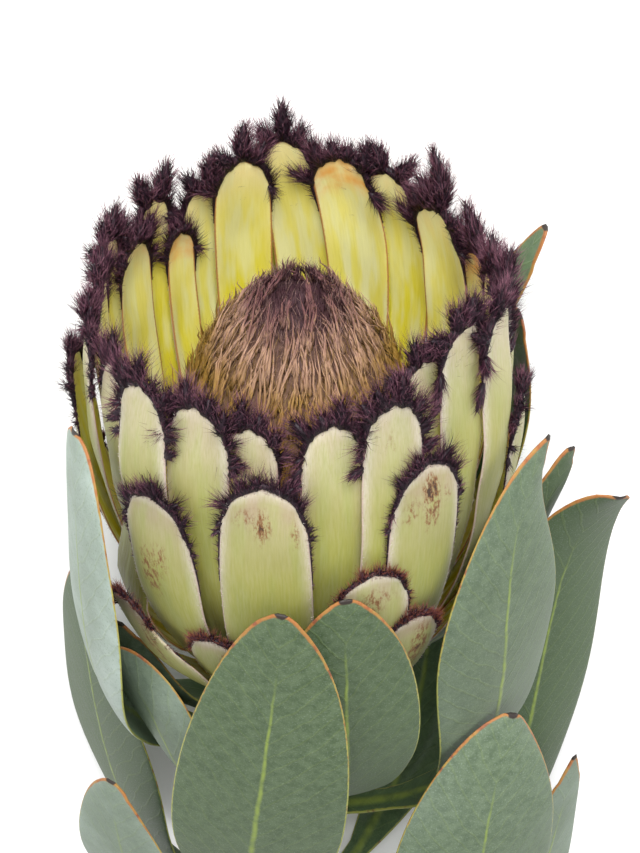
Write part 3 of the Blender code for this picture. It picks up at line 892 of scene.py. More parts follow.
class Bristles:
    """Hairs and floret strands: tapered spikes that grow out of a surface, made by one node tree.

    The surface carries, at each of its points, direction, length, bend, density and tone. A spike bends by
    bend along its length, and takes its material from tone and chance. Its tip can be drawn lighter, a painted
    highlight.
    """

    defaults = {
        "Scatter": True,
        "Density": 1.0e7,
        "Sides": 3,
        "Segments": 3,
        "Thickness": 0.00006,
        "Spread": 0.3,
        "Clump": 0.8,
        "Clump Size": 0.002,
        "Curl": 0.2,
        "Wave": 0.0006,
        "Wave Size": 0.003,
        "Shortest": 0.65,
        "Tone Spread": 0.4,
        # How much lighter the upper half of a hair is drawn: a painted highlight on its end.
        "Tip Tone": 0.0,
        "Keep Roots": False,
        "Seed": 0,
    }
    kinds = {bool: "NodeSocketBool", int: "NodeSocketInt", float: "NodeSocketFloat"}
    slots = ("First", "Second", "Third", "Fourth")
    limits = (-9.0, 0.25, 0.5, 0.75)
    own = ("direction", "length", "bend", "density", "tone", "aim", "tall", "shift", "shade", "rise")

    def __init__(self) -> None:
        """Builds the tree, from the roots' surface to the finished hairs."""
        self.tree = bpy.data.node_groups.new("bristles", "GeometryNodeTree")
        face = self.tree.interface
        face.new_socket("Geometry", in_out="INPUT", socket_type="NodeSocketGeometry")
        face.new_socket("Geometry", in_out="OUTPUT", socket_type="NodeSocketGeometry")
        self.inputs: dict[str, str] = {}
        for name, default in self.defaults.items():
            socket = face.new_socket(name, in_out="INPUT", socket_type=self.kinds[type(default)])
            socket.default_value = default
            self.inputs[name] = socket.identifier
        for name in self.slots:
            socket = face.new_socket(name, in_out="INPUT", socket_type="NodeSocketMaterial")
            self.inputs[name] = socket.identifier
        self.graph = Graph(self.tree)
        self.wanted = self.graph.add("NodeGroupInput").outputs
        self.build()

    def build(self) -> None:
        """Adds the tree's nodes, from the roots to the spikes with or without their surface."""
        graph, wanted = self.graph, self.wanted
        shape = self.coloured(self.curved(self.spikes(self.stored(self.roots()))))
        plain = {"Geometry": wanted["Geometry"], "Material": wanted["First"]}
        core = graph.add("GeometryNodeSetMaterial", plain)
        both = graph.add("GeometryNodeJoinGeometry")
        graph.feed(both.inputs[0], core.outputs[0])
        graph.feed(both.inputs[0], shape)
        kept = self.either("Keep Roots", shape, both.outputs[0])
        graph.feed(graph.add("NodeGroupOutput").inputs[0], kept)

    def roots(self) -> Socket:
        """The points that spikes grow from: scattered over the faces, or one at each vertex."""
        graph, wanted = self.graph, self.wanted
        dense = graph.times(wanted["Density"], self.carried("density"))
        surface = {"Mesh": wanted["Geometry"], "Density": dense, "Seed": wanted["Seed"]}
        spread = graph.add("GeometryNodeDistributePointsOnFaces", surface, distribute_method="RANDOM")
        each = graph.add("GeometryNodeMeshToPoints", {"Mesh": wanted["Geometry"]})
        return self.either("Scatter", each.outputs[0], spread.outputs["Points"])

    def stored(self, points: Socket) -> Socket:
        """Stores each spike's aim, length, bend and tone on its root.

        Args:
            points: The roots.

        Returns:
            The roots with those values.
        """
        graph, wanted = self.graph, self.wanted
        length = graph.times(self.carried("length"), self.chance(11, wanted["Shortest"], 1.1))
        spread = graph.scaled(self.any_way(0), wanted["Spread"])
        aim = graph.vector("ADD", self.carried("direction", True), spread)
        aim = graph.vector("ADD", aim, graph.scaled(self.drift("Clump Size"), wanted["Clump"]))
        curl = graph.scaled(self.any_way(5), wanted["Curl"])
        bend = graph.vector("ADD", self.carried("bend", True), curl)
        chosen = self.chance(23, -0.5, 0.5)
        tone = graph.number("MULTIPLY_ADD", chosen, wanted["Tone Spread"], self.carried("tone"))
        points = self.keep(points, "aim", aim, "FLOAT_VECTOR")
        points = self.keep(points, "tall", length, "FLOAT")
        points = self.keep(points, "shift", graph.scaled(bend, length), "FLOAT_VECTOR")
        return self.keep(points, "shade", tone, "FLOAT")

    def spikes(self, points: Socket) -> Socket:
        """Stands a straight spike on each root, with its rise from 0 to 1 stored along it.

        Args:
            points: The roots.

        Returns:
            The spikes as real geometry.
        """
        graph, wanted = self.graph, self.wanted
        cone = {"Vertices": wanted["Sides"], "Side Segments": wanted["Segments"], "Radius Top": 0.0,
                "Radius Bottom": 1.0, "Depth": 1.0}
        spot = graph.add("GeometryNodeInputPosition").outputs[0]
        up = graph.add("ShaderNodeSeparateXYZ", {0: spot}).outputs[2]
        spike = self.keep(graph.add("GeometryNodeMeshCone", cone).outputs[0], "rise", up, "FLOAT")
        aim = {"Vector": self.carried("aim", True)}
        turned = graph.add("FunctionNodeAlignRotationToVector", aim, axis="Z").outputs[0]
        size = {0: wanted["Thickness"], 1: wanted["Thickness"], 2: self.carried("tall")}
        scale = graph.add("ShaderNodeCombineXYZ", size).outputs[0]
        placed = {"Points": points, "Instance": spike, "Rotation": turned, "Scale": scale}
        grown = graph.add("GeometryNodeInstanceOnPoints", placed).outputs[0]
        return graph.add("GeometryNodeRealizeInstances", {0: grown}).outputs[0]

    def curved(self, spikes: Socket) -> Socket:
        """Bends the spikes by their shift and waves them from place to place.

        Args:
            spikes: The straight spikes.

        Returns:
            The curved ones.
        """
        graph, rise = self.graph, self.carried("rise")
        bent = graph.scaled(self.carried("shift", True), graph.number("POWER", rise, 2.0))
        waved = graph.scaled(self.drift("Wave Size"), graph.times(self.wanted["Wave"], rise))
        moved = {"Geometry": spikes, "Offset": graph.vector("ADD", bent, waved)}
        return graph.add("GeometryNodeSetPosition", moved).outputs[0]

    def coloured(self, shape: Socket) -> Socket:
        """Gives each part of the spikes the material that its tone asks for.

        Args:
            shape: The curved spikes.

        Returns:
            The spikes in their materials.
        """
        graph = self.graph
        # The upper half of each spike moves towards lighter materials: a painted highlight on the ends.
        tip = graph.times(graph.minus(self.carried("rise"), 0.5), self.wanted["Tip Tone"])
        shade = graph.plus(self.carried("shade"), tip)
        for name, limit in zip(self.slots, self.limits):
            enough = graph.add("FunctionNodeCompare", {0: shade, 1: limit}, operation="GREATER_EQUAL")
            chosen = {"Geometry": shape, "Selection": enough.outputs[0], "Material": self.wanted[name]}
            shape = graph.add("GeometryNodeSetMaterial", chosen).outputs[0]
        return shape

    def either(self, pick: str, off: object, on: object) -> Socket:
        """One of two geometries, as an input of the tree picks."""
        inputs = {"Switch": self.wanted[pick], "False": off, "True": on}
        return self.graph.add("GeometryNodeSwitch", inputs, input_type="GEOMETRY").outputs[0]

    def chance(self, turn: int, low: object, high: object) -> Socket:
        """A random number between low and high, another for each turn."""
        inputs = {2: low, 3: high, "Seed": self.graph.plus(self.wanted["Seed"], turn)}
        return self.graph.add("FunctionNodeRandomValue", inputs).outputs[1]

    def any_way(self, turn: int) -> Socket:
        """A random vector in a cube of side 2, another for each turn."""
        inputs = {0: (-1.0,) * 3, 1: (1.0,) * 3, "Seed": self.graph.plus(self.wanted["Seed"], turn)}
        return self.graph.add("FunctionNodeRandomValue", inputs, data_type="FLOAT_VECTOR").outputs[0]

    def drift(self, size: str) -> Socket:
        """A vector that changes softly from place to place, over the size that an input gives.

        Args:
            size: The input's name.

        Returns:
            The vector, each part between -0.5 and 0.5.
        """
        spot = self.graph.add("GeometryNodeInputPosition").outputs[0]
        near = self.graph.scaled(spot, self.graph.number("DIVIDE", 1.0, self.wanted[size]))
        field = self.graph.add("ShaderNodeTexNoise", {"Vector": near, "Scale": 1.0, "Detail": 1.0})
        return self.graph.vector("SUBTRACT", field.outputs["Color"], (0.5, 0.5, 0.5))

    def carried(self, name: str, vector: bool = False) -> Socket:
        """A value that the geometry carries under a name."""
        kind = "FLOAT_VECTOR" if vector else "FLOAT"
        node = self.graph.add("GeometryNodeInputNamedAttribute", {"Name": name}, data_type=kind)
        return node.outputs["Attribute"]

    def keep(self, geometry: object, name: str, value: object, kind: str) -> Socket:
        """Stores a value on the geometry's points under a name."""
        wanted = {"Geometry": geometry, "Name": name, "Value": value}
        node = self.graph.add("GeometryNodeStoreNamedAttribute", wanted, data_type=kind, domain="POINT")
        return node.outputs[0]

    def grow(
        self,
        name: str,
        roots: Mesh,
        materials: tuple[Material, ...],
        **settings: object,
    ) -> Mesh:
        """Grows spikes on a surface.

        Args:
            name: The new mesh's name.
            roots: The surface, with its carried values.
            materials: The four materials, from tone 0 to tone 1.
            settings: The tree's inputs. An underscore in a name stands for a space.

        Returns:
            The spikes as one plain mesh.
        """
        obj = bpy.data.objects.new(name, roots)
        bpy.context.scene.collection.objects.link(obj)
        modifier = obj.modifiers.new("bristles", "NODES")
        modifier.node_group = self.tree
        for key, value in settings.items():
            modifier[self.inputs[key.replace("_", " ")]] = value
        for key, material in zip(self.slots, materials):
            modifier[self.inputs[key]] = material
        graph = bpy.context.evaluated_depsgraph_get()
        mesh = bpy.data.meshes.new_from_object(obj.evaluated_get(graph))
        obj.modifiers.remove(modifier)
        bpy.data.objects.remove(obj)
        bpy.data.meshes.remove(roots)
        mesh.name = name
        for layer in [a.name for a in mesh.attributes if a.name in self.own]:
            mesh.attributes.remove(mesh.attributes[layer])
        mesh.shade_smooth()
        return mesh


@dataclass(frozen=True)
class Bract:
    """One bract: its azimuth round the axis, its tip's height, half its width, and its layer from inside.

    widest is the share of its length where it is widest, and foot is how wide it is at its foot beside that.
    Its middle sways by degrees round the axis, and its lower part stands off the others by stand. warm is how
    orange its tip is.
    """

    azimuth: float
    tip: float
    half: float
    layer: int
    widest: float = 0.80
    warm: float = 0.2
    foot: float = 0.42
    sway: float = 0.0
    stand: float = 0.0


@dataclass(frozen=True)
class Stain:
    """A worn spot on a bract: its share along, its place across from -1 to 1, and its size."""

    share: float
    across: float
    high: float
    wide: float
    strength: float = 1.0


TALL_BRACTS = (
    Bract(-176, 0.1148, 0.0064, 1, warm=0.1, sway=-7),
    Bract(-163.5, 0.1120, 0.0065, 0, warm=0.3),
    Bract(-152.8, 0.1063, 0.0064, 1, warm=0.2),
    Bract(-142.6, 0.0975, 0.0037, 0, warm=0.9),
    Bract(-134.2, 0.1090, 0.0051, 1, warm=0.3),
    Bract(-123.2, 0.1033, 0.0056, 0, warm=0.5),
    Bract(-112, 0.1095, 0.0055, 1, warm=0.3),
    Bract(-98, 0.1085, 0.0060, 0),
    Bract(-84, 0.1060, 0.0066, 1),
    Bract(-63, 0.1055, 0.0078, 0, warm=0.6, foot=0.95, stand=0.0070),
    Bract(-43.5, 0.1130, 0.0066, 2),
    Bract(-27.5, 0.1122, 0.0070, 1),
    Bract(-13.5, 0.1084, 0.0060, 0),
    Bract(9.1, 0.1113, 0.0066, 1),
    Bract(24.2, 0.1153, 0.0066, 2),
    Bract(36.5, 0.1190, 0.0064, 0),
    Bract(49, 0.1240, 0.0064, 1),
    Bract(63.5, 0.1212, 0.0068, 2),
    Bract(82.5, 0.1150, 0.0066, 1),
    Bract(98.6, 0.1090, 0.0064, 0, warm=0.5),
    Bract(117, 0.1020, 0.0066, 1, warm=0.9, sway=-6),
    Bract(133.5, 0.1075, 0.0070, 0, warm=0.2, sway=-8),
    Bract(153, 0.1094, 0.0068, 1, warm=0.3, sway=-7),
    Bract(166.5, 0.1123, 0.0072, 0, warm=0.8, sway=-7),
)
MIDDLE_BRACTS = (
    Bract(-38, 0.0880, 0.0088, 3, 0.66, 0.6),
    Bract(-8.5, 0.0990, 0.0094, 3, 0.62, 0.7),
    Bract(32.5, 0.0985, 0.0084, 3, 0.70, 0.9),
    Bract(78, 0.0900, 0.0080, 3, 0.68),
    Bract(122, 0.0660, 0.0082, 3, 0.66),
    Bract(160.5, 0.0820, 0.0084, 3, 0.66),
    Bract(-175, 0.0930, 0.0082, 3, 0.66, 1.0),
    Bract(-127, 0.0775, 0.0080, 3, 0.66, 0.6),
    Bract(-94, 0.0890, 0.0080, 3, 0.66),
)
LOW_BRACTS = (
    Bract(-51, 0.0500, 0.0094, 5, 0.62, 0.9, foot=0.80, sway=8, stand=0.0014),
    Bract(-24, 0.0490, 0.0072, 4, 0.62, 0.8),
    Bract(18, 0.0740, 0.0088, 4, 0.60, 0.4),
    Bract(29.4, 0.0570, 0.0078, 5, 0.62, 1.0),
    Bract(66, 0.0560, 0.0078, 4, 0.60, 0.8),
    Bract(98, 0.0620, 0.0078, 4, 0.60, 0.6),
    Bract(142, 0.0560, 0.0076, 4, 0.60, 0.6),
    Bract(-140, 0.0540, 0.0076, 4, 0.60, 0.6),
    Bract(-100, 0.0590, 0.0074, 4, 0.60, 0.6),
)
STAINS = {
    "middle_bract_01": (Stain(0.72, -0.25, 0.0080, 0.0028, 1.0), Stain(0.80, 0.2, 0.0040, 0.0016, 0.8)),
    "middle_bract_02": (Stain(0.90, 0.0, 0.0036, 0.0017, 1.4), Stain(0.90, 0.70, 0.0050, 0.0010, 0.9),
                        Stain(0.93, -0.45, 0.0024, 0.0030, 0.7)),
    "middle_bract_03": (Stain(0.945, 0.05, 0.0020, 0.0015, 2.6), Stain(0.885, 0.10, 0.0050, 0.0016, 1.5),
                        Stain(0.90, -0.50, 0.0032, 0.0020, 0.9), Stain(0.91, 0.55, 0.0022, 0.0014, 0.8)),
    "low_bract_01": (Stain(0.80, 0.3, 0.0060, 0.0026, 0.9),),
    "low_bract_02": (Stain(0.84, 0.45, 0.0030, 0.0020, 1.8),),
    "low_bract_03": (Stain(0.90, 0.0, 0.0030, 0.0050, 0.9), Stain(0.84, -0.1, 0.0022, 0.0016, 1.5)),
    "low_bract_04": (Stain(0.80, 0.35, 0.0070, 0.0024, 1.3), Stain(0.66, -0.1, 0.0034, 0.0022, 1.2)),
    "tall_bract_10": (Stain(0.93, 0.1, 0.0060, 0.0020, 0.8),),
    "tall_bract_15": (Stain(0.92, -0.1, 0.0030, 0.0016, 0.6),),
}


class Tube:
    """Closed soft tubes along lines."""

    @staticmethod
    def skin(line: Field, radii: Field, beside: Field, sides: int) -> tuple[Field, Field]:
        """The skin of a tube.

        Args:
            line: Its middle line.
            radii: Its radius at each point of the line.
            beside: At each point, a direction that isn't the line's own.
            sides: How many sides it has.

        Returns:
            The skin's points and its outward normals, rows by sides by 3.
        """
        along = unit(np.gradient(line, axis=0))
        first = unit(np.cross(along, beside))
        second = np.cross(along, first)
        turn = np.linspace(0, 2 * np.pi, sides, endpoint=False)[None, :, None]
        normal = first[:, None] * np.cos(turn) + second[:, None] * np.sin(turn)
        return line[:, None] + normal * radii[:, None, None], normal

    @staticmethod
    def faces(rows: int, sides: int, start: int) -> list[list[int]]:
        """The faces of a tube whose first vertex has the number start."""
        index = start + np.arange(rows * sides).reshape(rows, sides)
        return ring_quads(index).tolist() + [index[0, ::-1].tolist(), index[-1].tolist()]


@dataclass(frozen=True)
class Spire:
    """One tuft of a beard: its place on the bract, its length and radius, its lean and its sideways curve."""

    share: float
    across: float
    length: float
    radius: float
    side_lean: float = 0.0
    out_lean: float = 0.0
    curve: float = 0.0


@dataclass(frozen=True)
class BeardKind:
    """How the beards of a group of bracts grow."""

    low: float
    full: float
    side_radius: float
    top_radius: float
    side_hair: float
    top_hair: float
    spires: int
    spire_length: float
    spire_radius: float
    side_tufts: tuple[float, ...]
    tone: float
    density: float


TALL_BEARD = BeardKind(0.865, 0.09, 0.00034, 0.0009, 0.0027, 0.0050, 4, 0.0060, 0.0018,
                       (0.975, 0.942, 0.910, 0.885), 0.24, 5.1e6)
MIDDLE_BEARD = BeardKind(0.70, 0.24, 0.00022, 0.0007, 0.0020, 0.0046, 6, 0.0030, 0.0012,
                         (0.955, 0.90), 0.20, 5.8e6)
LOW_BEARD = BeardKind(0.76, 0.16, 0.0002, 0.0005, 0.0016, 0.0030, 5, 0.0020, 0.0008, (0.95,), 0.45, 7.0e6)
TALL_SPIRES = {
    "tall_bract_01": (
        Spire(1.0, 0.0, 0.0099, 0.0020, -0.05, 0.0, 0.05),
        Spire(1.0, -0.50, 0.0058, 0.0018, -0.35),
        Spire(1.0, 0.45, 0.0058, 0.0019, 0.45),
        Spire(0.99, -0.95, 0.0050, 0.0011, -1.6),
        Spire(0.985, 0.98, 0.0060, 0.0012, 1.3, 0.0, 0.3),
    ),
    "tall_bract_02": (
        Spire(1.0, 0.0, 0.0093, 0.0022, 0.0, 0.0, -0.10),
        Spire(1.0, -0.50, 0.0064, 0.0019, -0.4),
        Spire(1.0, 0.50, 0.0060, 0.0019, 0.5),
        Spire(0.975, 1.0, 0.0062, 0.0011, 1.9),
    ),
    "tall_bract_03": (
        Spire(1.0, -0.15, 0.0087, 0.0022, -0.1),
        Spire(1.0, 0.50, 0.0060, 0.0019, 0.3),
        Spire(0.975, 1.0, 0.0062, 0.0011, 1.6),
        Spire(1.0, -0.75, 0.0046, 0.0013, -0.6),
    ),
    "tall_bract_04": (
        Spire(1.0, -0.35, 0.0026, 0.0012, -0.2),
        Spire(1.0, 0.35, 0.0022, 0.0012, 0.2),
    ),
    "tall_bract_05": (
        Spire(1.0, -0.40, 0.0099, 0.0022, -0.25),
        Spire(1.0, 0.40, 0.0093, 0.0022, 0.25),
        Spire(0.985, -1.0, 0.0056, 0.0012, -1.3),
        Spire(0.985, 1.0, 0.0056, 0.0012, 1.3),
    ),
    "tall_bract_22": (
        Spire(1.0, -0.1, 0.0121, 0.0029, -0.30, 0.05, 0.55),
        Spire(1.0, 0.3, 0.0104, 0.0025, -0.25, 0.0, 0.60),
        Spire(1.0, 0.75, 0.0058, 0.0018, 0.4),
        Spire(1.0, -0.75, 0.0058, 0.0018, -0.7),
        Spire(0.98, 1.0, 0.0062, 0.0012, 1.4),
    ),
    "tall_bract_21": (
        Spire(1.0, 0.0, 0.0116, 0.0022, 0.2, 0.0, 0.2),
        Spire(1.0, -0.6, 0.0099, 0.0018, -1.0),
        Spire(1.0, 0.7, 0.0070, 0.0018, 0.6),
    ),
    "tall_bract_23": (
        Spire(1.0, -0.55, 0.0087, 0.0020, -0.35, 0.0, -0.15),
        Spire(1.0, 0.15, 0.0087, 0.0020, 0.15, 0.0, 0.2),
        Spire(1.0, 0.75, 0.0058, 0.0018, 0.5),
        Spire(0.975, 1.0, 0.0070, 0.0012, 1.5),
    ),
    "tall_bract_24": (
        Spire(1.0, -0.75, 0.0065, 0.0020, -0.55, 0.0, 0.5),
        Spire(1.0, 0.70, 0.0070, 0.0020, 0.45, 0.0, -0.2),
        Spire(1.0, -0.25, 0.0039, 0.0019),
        Spire(1.0, 0.25, 0.0051, 0.0019),
        Spire(0.98, -1.0, 0.0050, 0.0012, -1.3),
        Spire(0.975, 1.0, 0.0062, 0.0012, 1.4),
    ),
}


@dataclass
class Beard:
    """The fur round one bract's tip: a soft core along its margins, tufts over it, and hairs on both."""

    goblet: "Goblet"
    bract: Bract
    kind: BeardKind
    name: str
    number: int
    rope_sides: int = 7
    rope_low: float = 0.00010
    rope_hair: float = 0.0006
    spire_sides: int = 6
    spire_rows: int = 6
    spire_point: float = 0.00006
    crown_share: tuple[float, float] = (0.955, 1.0)
    tip_share: tuple[float, float] = (0.94, 0.98)

    def __post_init__(self) -> None:
        """Starts the lists that the tubes go into."""
        self.rng = np.random.default_rng(400 + self.number)
        self.points: list[Field] = []
        self.faces: list[list[int]] = []
        self.values: dict[str, list[Field]] = {}
        self.total = 0

    def store(self, line: Field, radii: Field, beside: Field, sides: int, facts: dict[str, Field]) -> None:
        """Adds a tube with the way its hairs grow.

        Args:
            line: Its middle line.
            radii: Its radius at each point of the line.
            beside: At each point, a direction that isn't the line's own.
            sides: How many sides it has.
            facts: At each point, the way its hairs flow, how far they splay from the skin, the way out of the
                bract, the least and most that they lean that way, and their length, density, tone and bend.
        """
        skin, normal = Tube.skin(line, radii, beside, sides)
        rows = len(line)
        aim = facts["flow"][:, None] + normal * facts["splay"][:, None, None]
        aim = unit(aim)
        out = facts["out"][:, None]
        level = (aim * out).sum(-1, keepdims=True)
        held = np.clip(level, facts["least"][:, None, None], facts["most"][:, None, None])
        aim = unit(aim + out * (held - level))
        self.points.append(skin.reshape(-1, 3))
        self.faces += Tube.faces(rows, sides, self.total)
        self.total += rows * sides
        spread = {"direction": LAYING.directions(aim).reshape(-1, 3)}
        spread["bend"] = np.repeat(LAYING.directions(facts["bend"]), sides, axis=0)
        for key in ("length", "density", "tone"):
            spread[key] = np.repeat(facts[key], sides)
        for key, value in spread.items():
            self.values.setdefault(key, []).append(value)

    def rope(self) -> None:
        """Adds the core that runs up one margin, over the tip and down the other, just past the rim."""
        kind, bract = self.kind, self.bract
        share, across = self.goblet.rim(kind.low, 15)
        spot, up, _, out = self.goblet.axes(bract, share, across)
        beyond = unit(np.cross(out, unit(np.gradient(spot, axis=0))))
        full = smooth(share, kind.low, kind.low + kind.full)
        crown = smooth(share, *self.crown_share) * mix(1.0, 0.55, np.abs(across) ** 3)
        radii = mix(mix(self.rope_low, kind.side_radius, full), kind.top_radius, crown)
        line = spot + beyond * (radii * 0.85)[:, None]
        run = np.linspace(0, 1, share.size)
        phases = self.rng.uniform(0, 2 * np.pi, 2)
        tufts = 1 + 0.24 * np.sin(run * 40 + phases[0]) + 0.18 * np.sin(run * 83 + phases[1])
        inner, outer = (-0.22, 0.16) if bract.layer == 0 else (0.0, 0.32)
        facts = {
            "flow": unit(up * mix(0.70, 1.0, crown)[:, None] + beyond * mix(0.85, 0.40, crown)[:, None]),
            "splay": mix(0.55, 0.34, crown),
            "out": out,
            "least": mix(inner, -0.30, crown * (1 - np.abs(across))),
            "most": mix(outer, 0.60, crown),
            "length": mix(mix(self.rope_hair, kind.side_hair, full), kind.top_hair * 0.72, crown) * tufts,
            "density": mix(0.5, 1.0, full),
            "tone": np.full(share.size, kind.tone) + 0.30 * (1 - full),
            "bend": up * 0.12,
        }
        self.store(line, radii, out, self.rope_sides, facts)

    def tufts(self) -> tuple[Spire, ...]:
        """The beard's tufts: those over the tip, and the flames that stand off both margins."""
        kind, rng, bract = self.kind, self.rng, self.bract
        made = list(TALL_SPIRES.get(self.name, ()))
        if not made:
            for across in np.linspace(-0.85, 0.85, kind.spires) + rng.uniform(-0.10, 0.10, kind.spires):
                long = kind.spire_length * rng.uniform(0.65, 1.60) * (1 - 0.35 * abs(across))
                made.append(Spire(1.0, across, long, kind.spire_radius * rng.uniform(0.85, 1.1),
                                  across * 0.7 + rng.uniform(-0.25, 0.25), rng.uniform(-0.15, 0.15),
                                  rng.uniform(-0.3, 0.3)))
        for share in kind.side_tufts if bract.layer else kind.side_tufts[:1]:
            for sign in (-1, 1):
                at = share + rng.uniform(-0.010, 0.010)
                long = kind.spire_length * rng.uniform(0.40, 0.75)
                made.append(Spire(at, sign, long, kind.spire_radius * 0.50, sign * rng.uniform(0.9, 1.9),
                                  0.05 if bract.layer == 0 else 0.25, -sign * rng.uniform(-0.2, 0.3)))
        return tuple(made)

    def stand(self, spire: Spire) -> None:
        """Adds one tuft's core.

        Args:
            spire: The tuft.
        """
        place = np.array([spire.share]), np.array([spire.across])
        spot, up, aside, out = (v[0] for v in self.goblet.axes(self.bract, *place))
        way = unit(up + aside * spire.side_lean + out * spire.out_lean)
        rise = np.linspace(0, 1, self.spire_rows)
        line = spot + (way * rise[:, None] + aside * (spire.curve * rise**2)[:, None]) * spire.length
        radii = spire.radius * (1 - rise**1.7) * mix(0.45, 1.0, smooth(rise, 0.0, 0.40)) + self.spire_point
        high = float(smooth(spire.share, *self.tip_share))
        free = high * (1 - min(abs(spire.across), 1.0) ** 1.5)
        tip = self.rng.uniform(-0.12, 0.16)
        facts = {
            "flow": unit(np.gradient(line, axis=0)),
            "splay": mix(0.62, 0.42, rise),
            "out": np.repeat(out[None], rise.size, axis=0),
            "least": np.full(rise.size, mix(-0.15 if self.bract.layer == 0 else 0.05, -0.7, free)),
            "most": np.full(rise.size, mix(0.35, 1.0, high)),
            "length": mix(self.kind.side_hair, self.kind.top_hair, high) * (1 - 0.2 * rise),
            "density": np.full(rise.size, 1.0),
            # The tone rises along each tuft: a painted highlight towards its end.
            "tone": self.kind.tone + tip + 0.25 * rise,
            "bend": np.repeat((up * 0.1)[None], rise.size, axis=0),
        }
        beside = np.repeat(out[None], rise.size, axis=0)
        self.store(line, radii, beside, self.spire_sides, facts)

    def roots(self) -> Mesh:
        """The core and its tufts as one mesh, with the way each hair on it grows."""
        self.rope()
        for spire in self.tufts():
            self.stand(spire)
        values = {key: np.concatenate(value) for key, value in self.values.items()}
        return Piece.mesh("beard_core", LAYING.points(np.concatenate(self.points)), self.faces, values)


@dataclass
class Goblet:
    """The bracts in their layers, and the beard of each."""

    bristles: Bristles
    length: float = 0.115
    foot_radius: float = 0.0085
    belly_radius: float = 0.0412
    fullness: float = 3.4
    mouth_incurve: float = 0.0015
    mouth_from: float = 0.090
    thickness: float = 0.0008
    crown: float = 0.0010
    tip_share: float = 0.88
    tip_rounding: float = 0.90
    corner: float = 0.10
    peak: float = 0.0009
    foot_step: float = 0.0017
    stand_off: tuple[float, ...] = (0.0, 0.0019, 0.0038, 0.0056, 0.0074, 0.0090)
    stand_off_rise: tuple[float, float] = (0.014, 0.050)
    stand_rise: tuple[float, float] = (0.014, 0.028)
    stand_fall: tuple[float, float] = (0.038, 0.060)
    seat_top: float = 0.016
    seat_step: float = 0.0028
    rows: int = 30
    columns: int = 17
    hair_half: float = 0.000075
    unevenness: float = 0.00022
    step_up: float = 0.0005
    step_aside: float = 0.02
    silk_low: float = 0.35
    silk_band: float = 0.0026
    silk_insets: tuple[float, ...] = (0.0009, 0.0001)
    silk_length: tuple[float, float] = (0.0005, 0.0012)

    def cup_radius(self, height: Field) -> Field:
        """Distance of the innermost layer from the axis at a height."""
        short = np.clip(1 - height / self.length, 0.0, 1.0)
        flare = (self.belly_radius - self.foot_radius) * (1 - short**self.fullness)
        return self.foot_radius + flare - self.mouth_incurve * smooth(height, self.mouth_from, self.length)

    def layer_radius(self, layer: int, height: Field) -> Field:
        """Distance of a layer from the axis at a height."""
        foot = layer * self.foot_step
        risen = smooth(height, *self.stand_off_rise)
        return self.cup_radius(height) + foot + (self.stand_off[layer] - foot) * risen

    def long(self, bract: Bract) -> float:
        """How far the bract's tip is above its seat."""
        return bract.tip - self.seat_top + bract.layer * self.seat_step

    def half_width(self, bract: Bract, share: Field) -> Field:
        """Half the bract's width, with its two top corners rounded.

        Args:
            bract: The bract.
            share: The share of its length.

        Returns:
            Half its width there.
        """
        low = mix(bract.foot, 1.0, np.sin(np.pi / 2 * np.minimum(share / bract.widest, 1.0)))
        beyond = np.clip((share - bract.widest) / (1 - bract.widest), 0.0, 1.0)
        corner = np.clip(1 - (1 - share) * self.long(bract) / (0.75 * bract.half), 0.0, 1.0)
        high = mix(1.0, self.tip_share, beyond**2) * (1 - self.corner * corner**2)
        return bract.half * np.where(share < bract.widest, low, high)

    def surface(self, bract: Bract, share: Field, across: Field, rise: Field | float = 0.0) -> Field:
        """Points of the bract's middle surface on the upright flower.

        Args:
            bract: The bract.
            share: The share of its length, 0 at its seat and 1 at its tip.
            across: From -1 to 1 across it.
            rise: How far past that share the points are carried.

        Returns:
            The points.
        """
        seat = self.seat_top - bract.layer * self.seat_step
        width = np.minimum(np.abs(across), 1.0)
        rounding = self.tip_rounding * bract.half * (1 - np.sqrt(1 - 0.99 * width**2.1)) * share**6
        point = self.peak * np.exp(-((across / 0.20) ** 2)) * share**24
        height = mix(seat, bract.tip, share) - rounding + rise + point
        bulge = self.crown * (1 - width**2) * smooth(share, 0.35, 0.7) * (1 - share**8)
        uneven = np.sin(height * 260 + bract.azimuth) * np.sin(across * 2.4 + bract.azimuth * 0.7)
        bulge = bulge + self.unevenness * uneven * smooth(share, 0.3, 0.6)
        bulge += bract.stand * smooth(height, *self.stand_rise) * (1 - smooth(height, *self.stand_fall))
        radius = self.layer_radius(bract.layer, height) + bulge
        arc = across * self.half_width(bract, share) / radius
        azimuth = bract.azimuth + bract.sway * 4 * share * (1 - share) + np.degrees(arc)
        return around(azimuth, radius, height)

    def axes(self, bract: Bract, share: Field, across: Field) -> tuple[Field, Field, Field, Field]:
        """The bract's surface at some places, and the ways up it, across it and out of it."""
        spot = self.surface(bract, share, across)
        up = unit(self.surface(bract, share, across, self.step_up) - spot)
        aside = unit(self.surface(bract, share, across + self.step_aside) - spot)
        return spot, up, aside, unit(np.cross(aside, up))

    @staticmethod
    def rim(low: float, steps: int) -> tuple[Field, Field]:
        """Places along and across a bract, up one margin from low, over the tip and down the other."""
        side = np.linspace(low, 1.0, steps)
        top = np.linspace(-1, 1, 13)[1:-1]
        share = np.concatenate([side, np.ones(top.size), side[::-1]])
        return share, np.concatenate([-np.ones(side.size), top, np.ones(side.size)])

    def marks(self, name: str, bract: Bract, share: Field, across: Field) -> Field:
        """How worn the bract is.

        Args:
            name: The bract's name.
            bract: The bract.
            share: The share of its length at each point.
            across: Each point's place across it.

        Returns:
            The wear at each point, 0 where there is none.
        """
        worn = np.zeros_like(share)
        long = bract.tip - self.seat_top
        for stain in STAINS.get(name, ()):
            up = (share - stain.share) * long / stain.high
            side = (across - stain.across) * bract.half / stain.wide
            worn += stain.strength * np.exp(-(up**2) - side**2)
        return worn

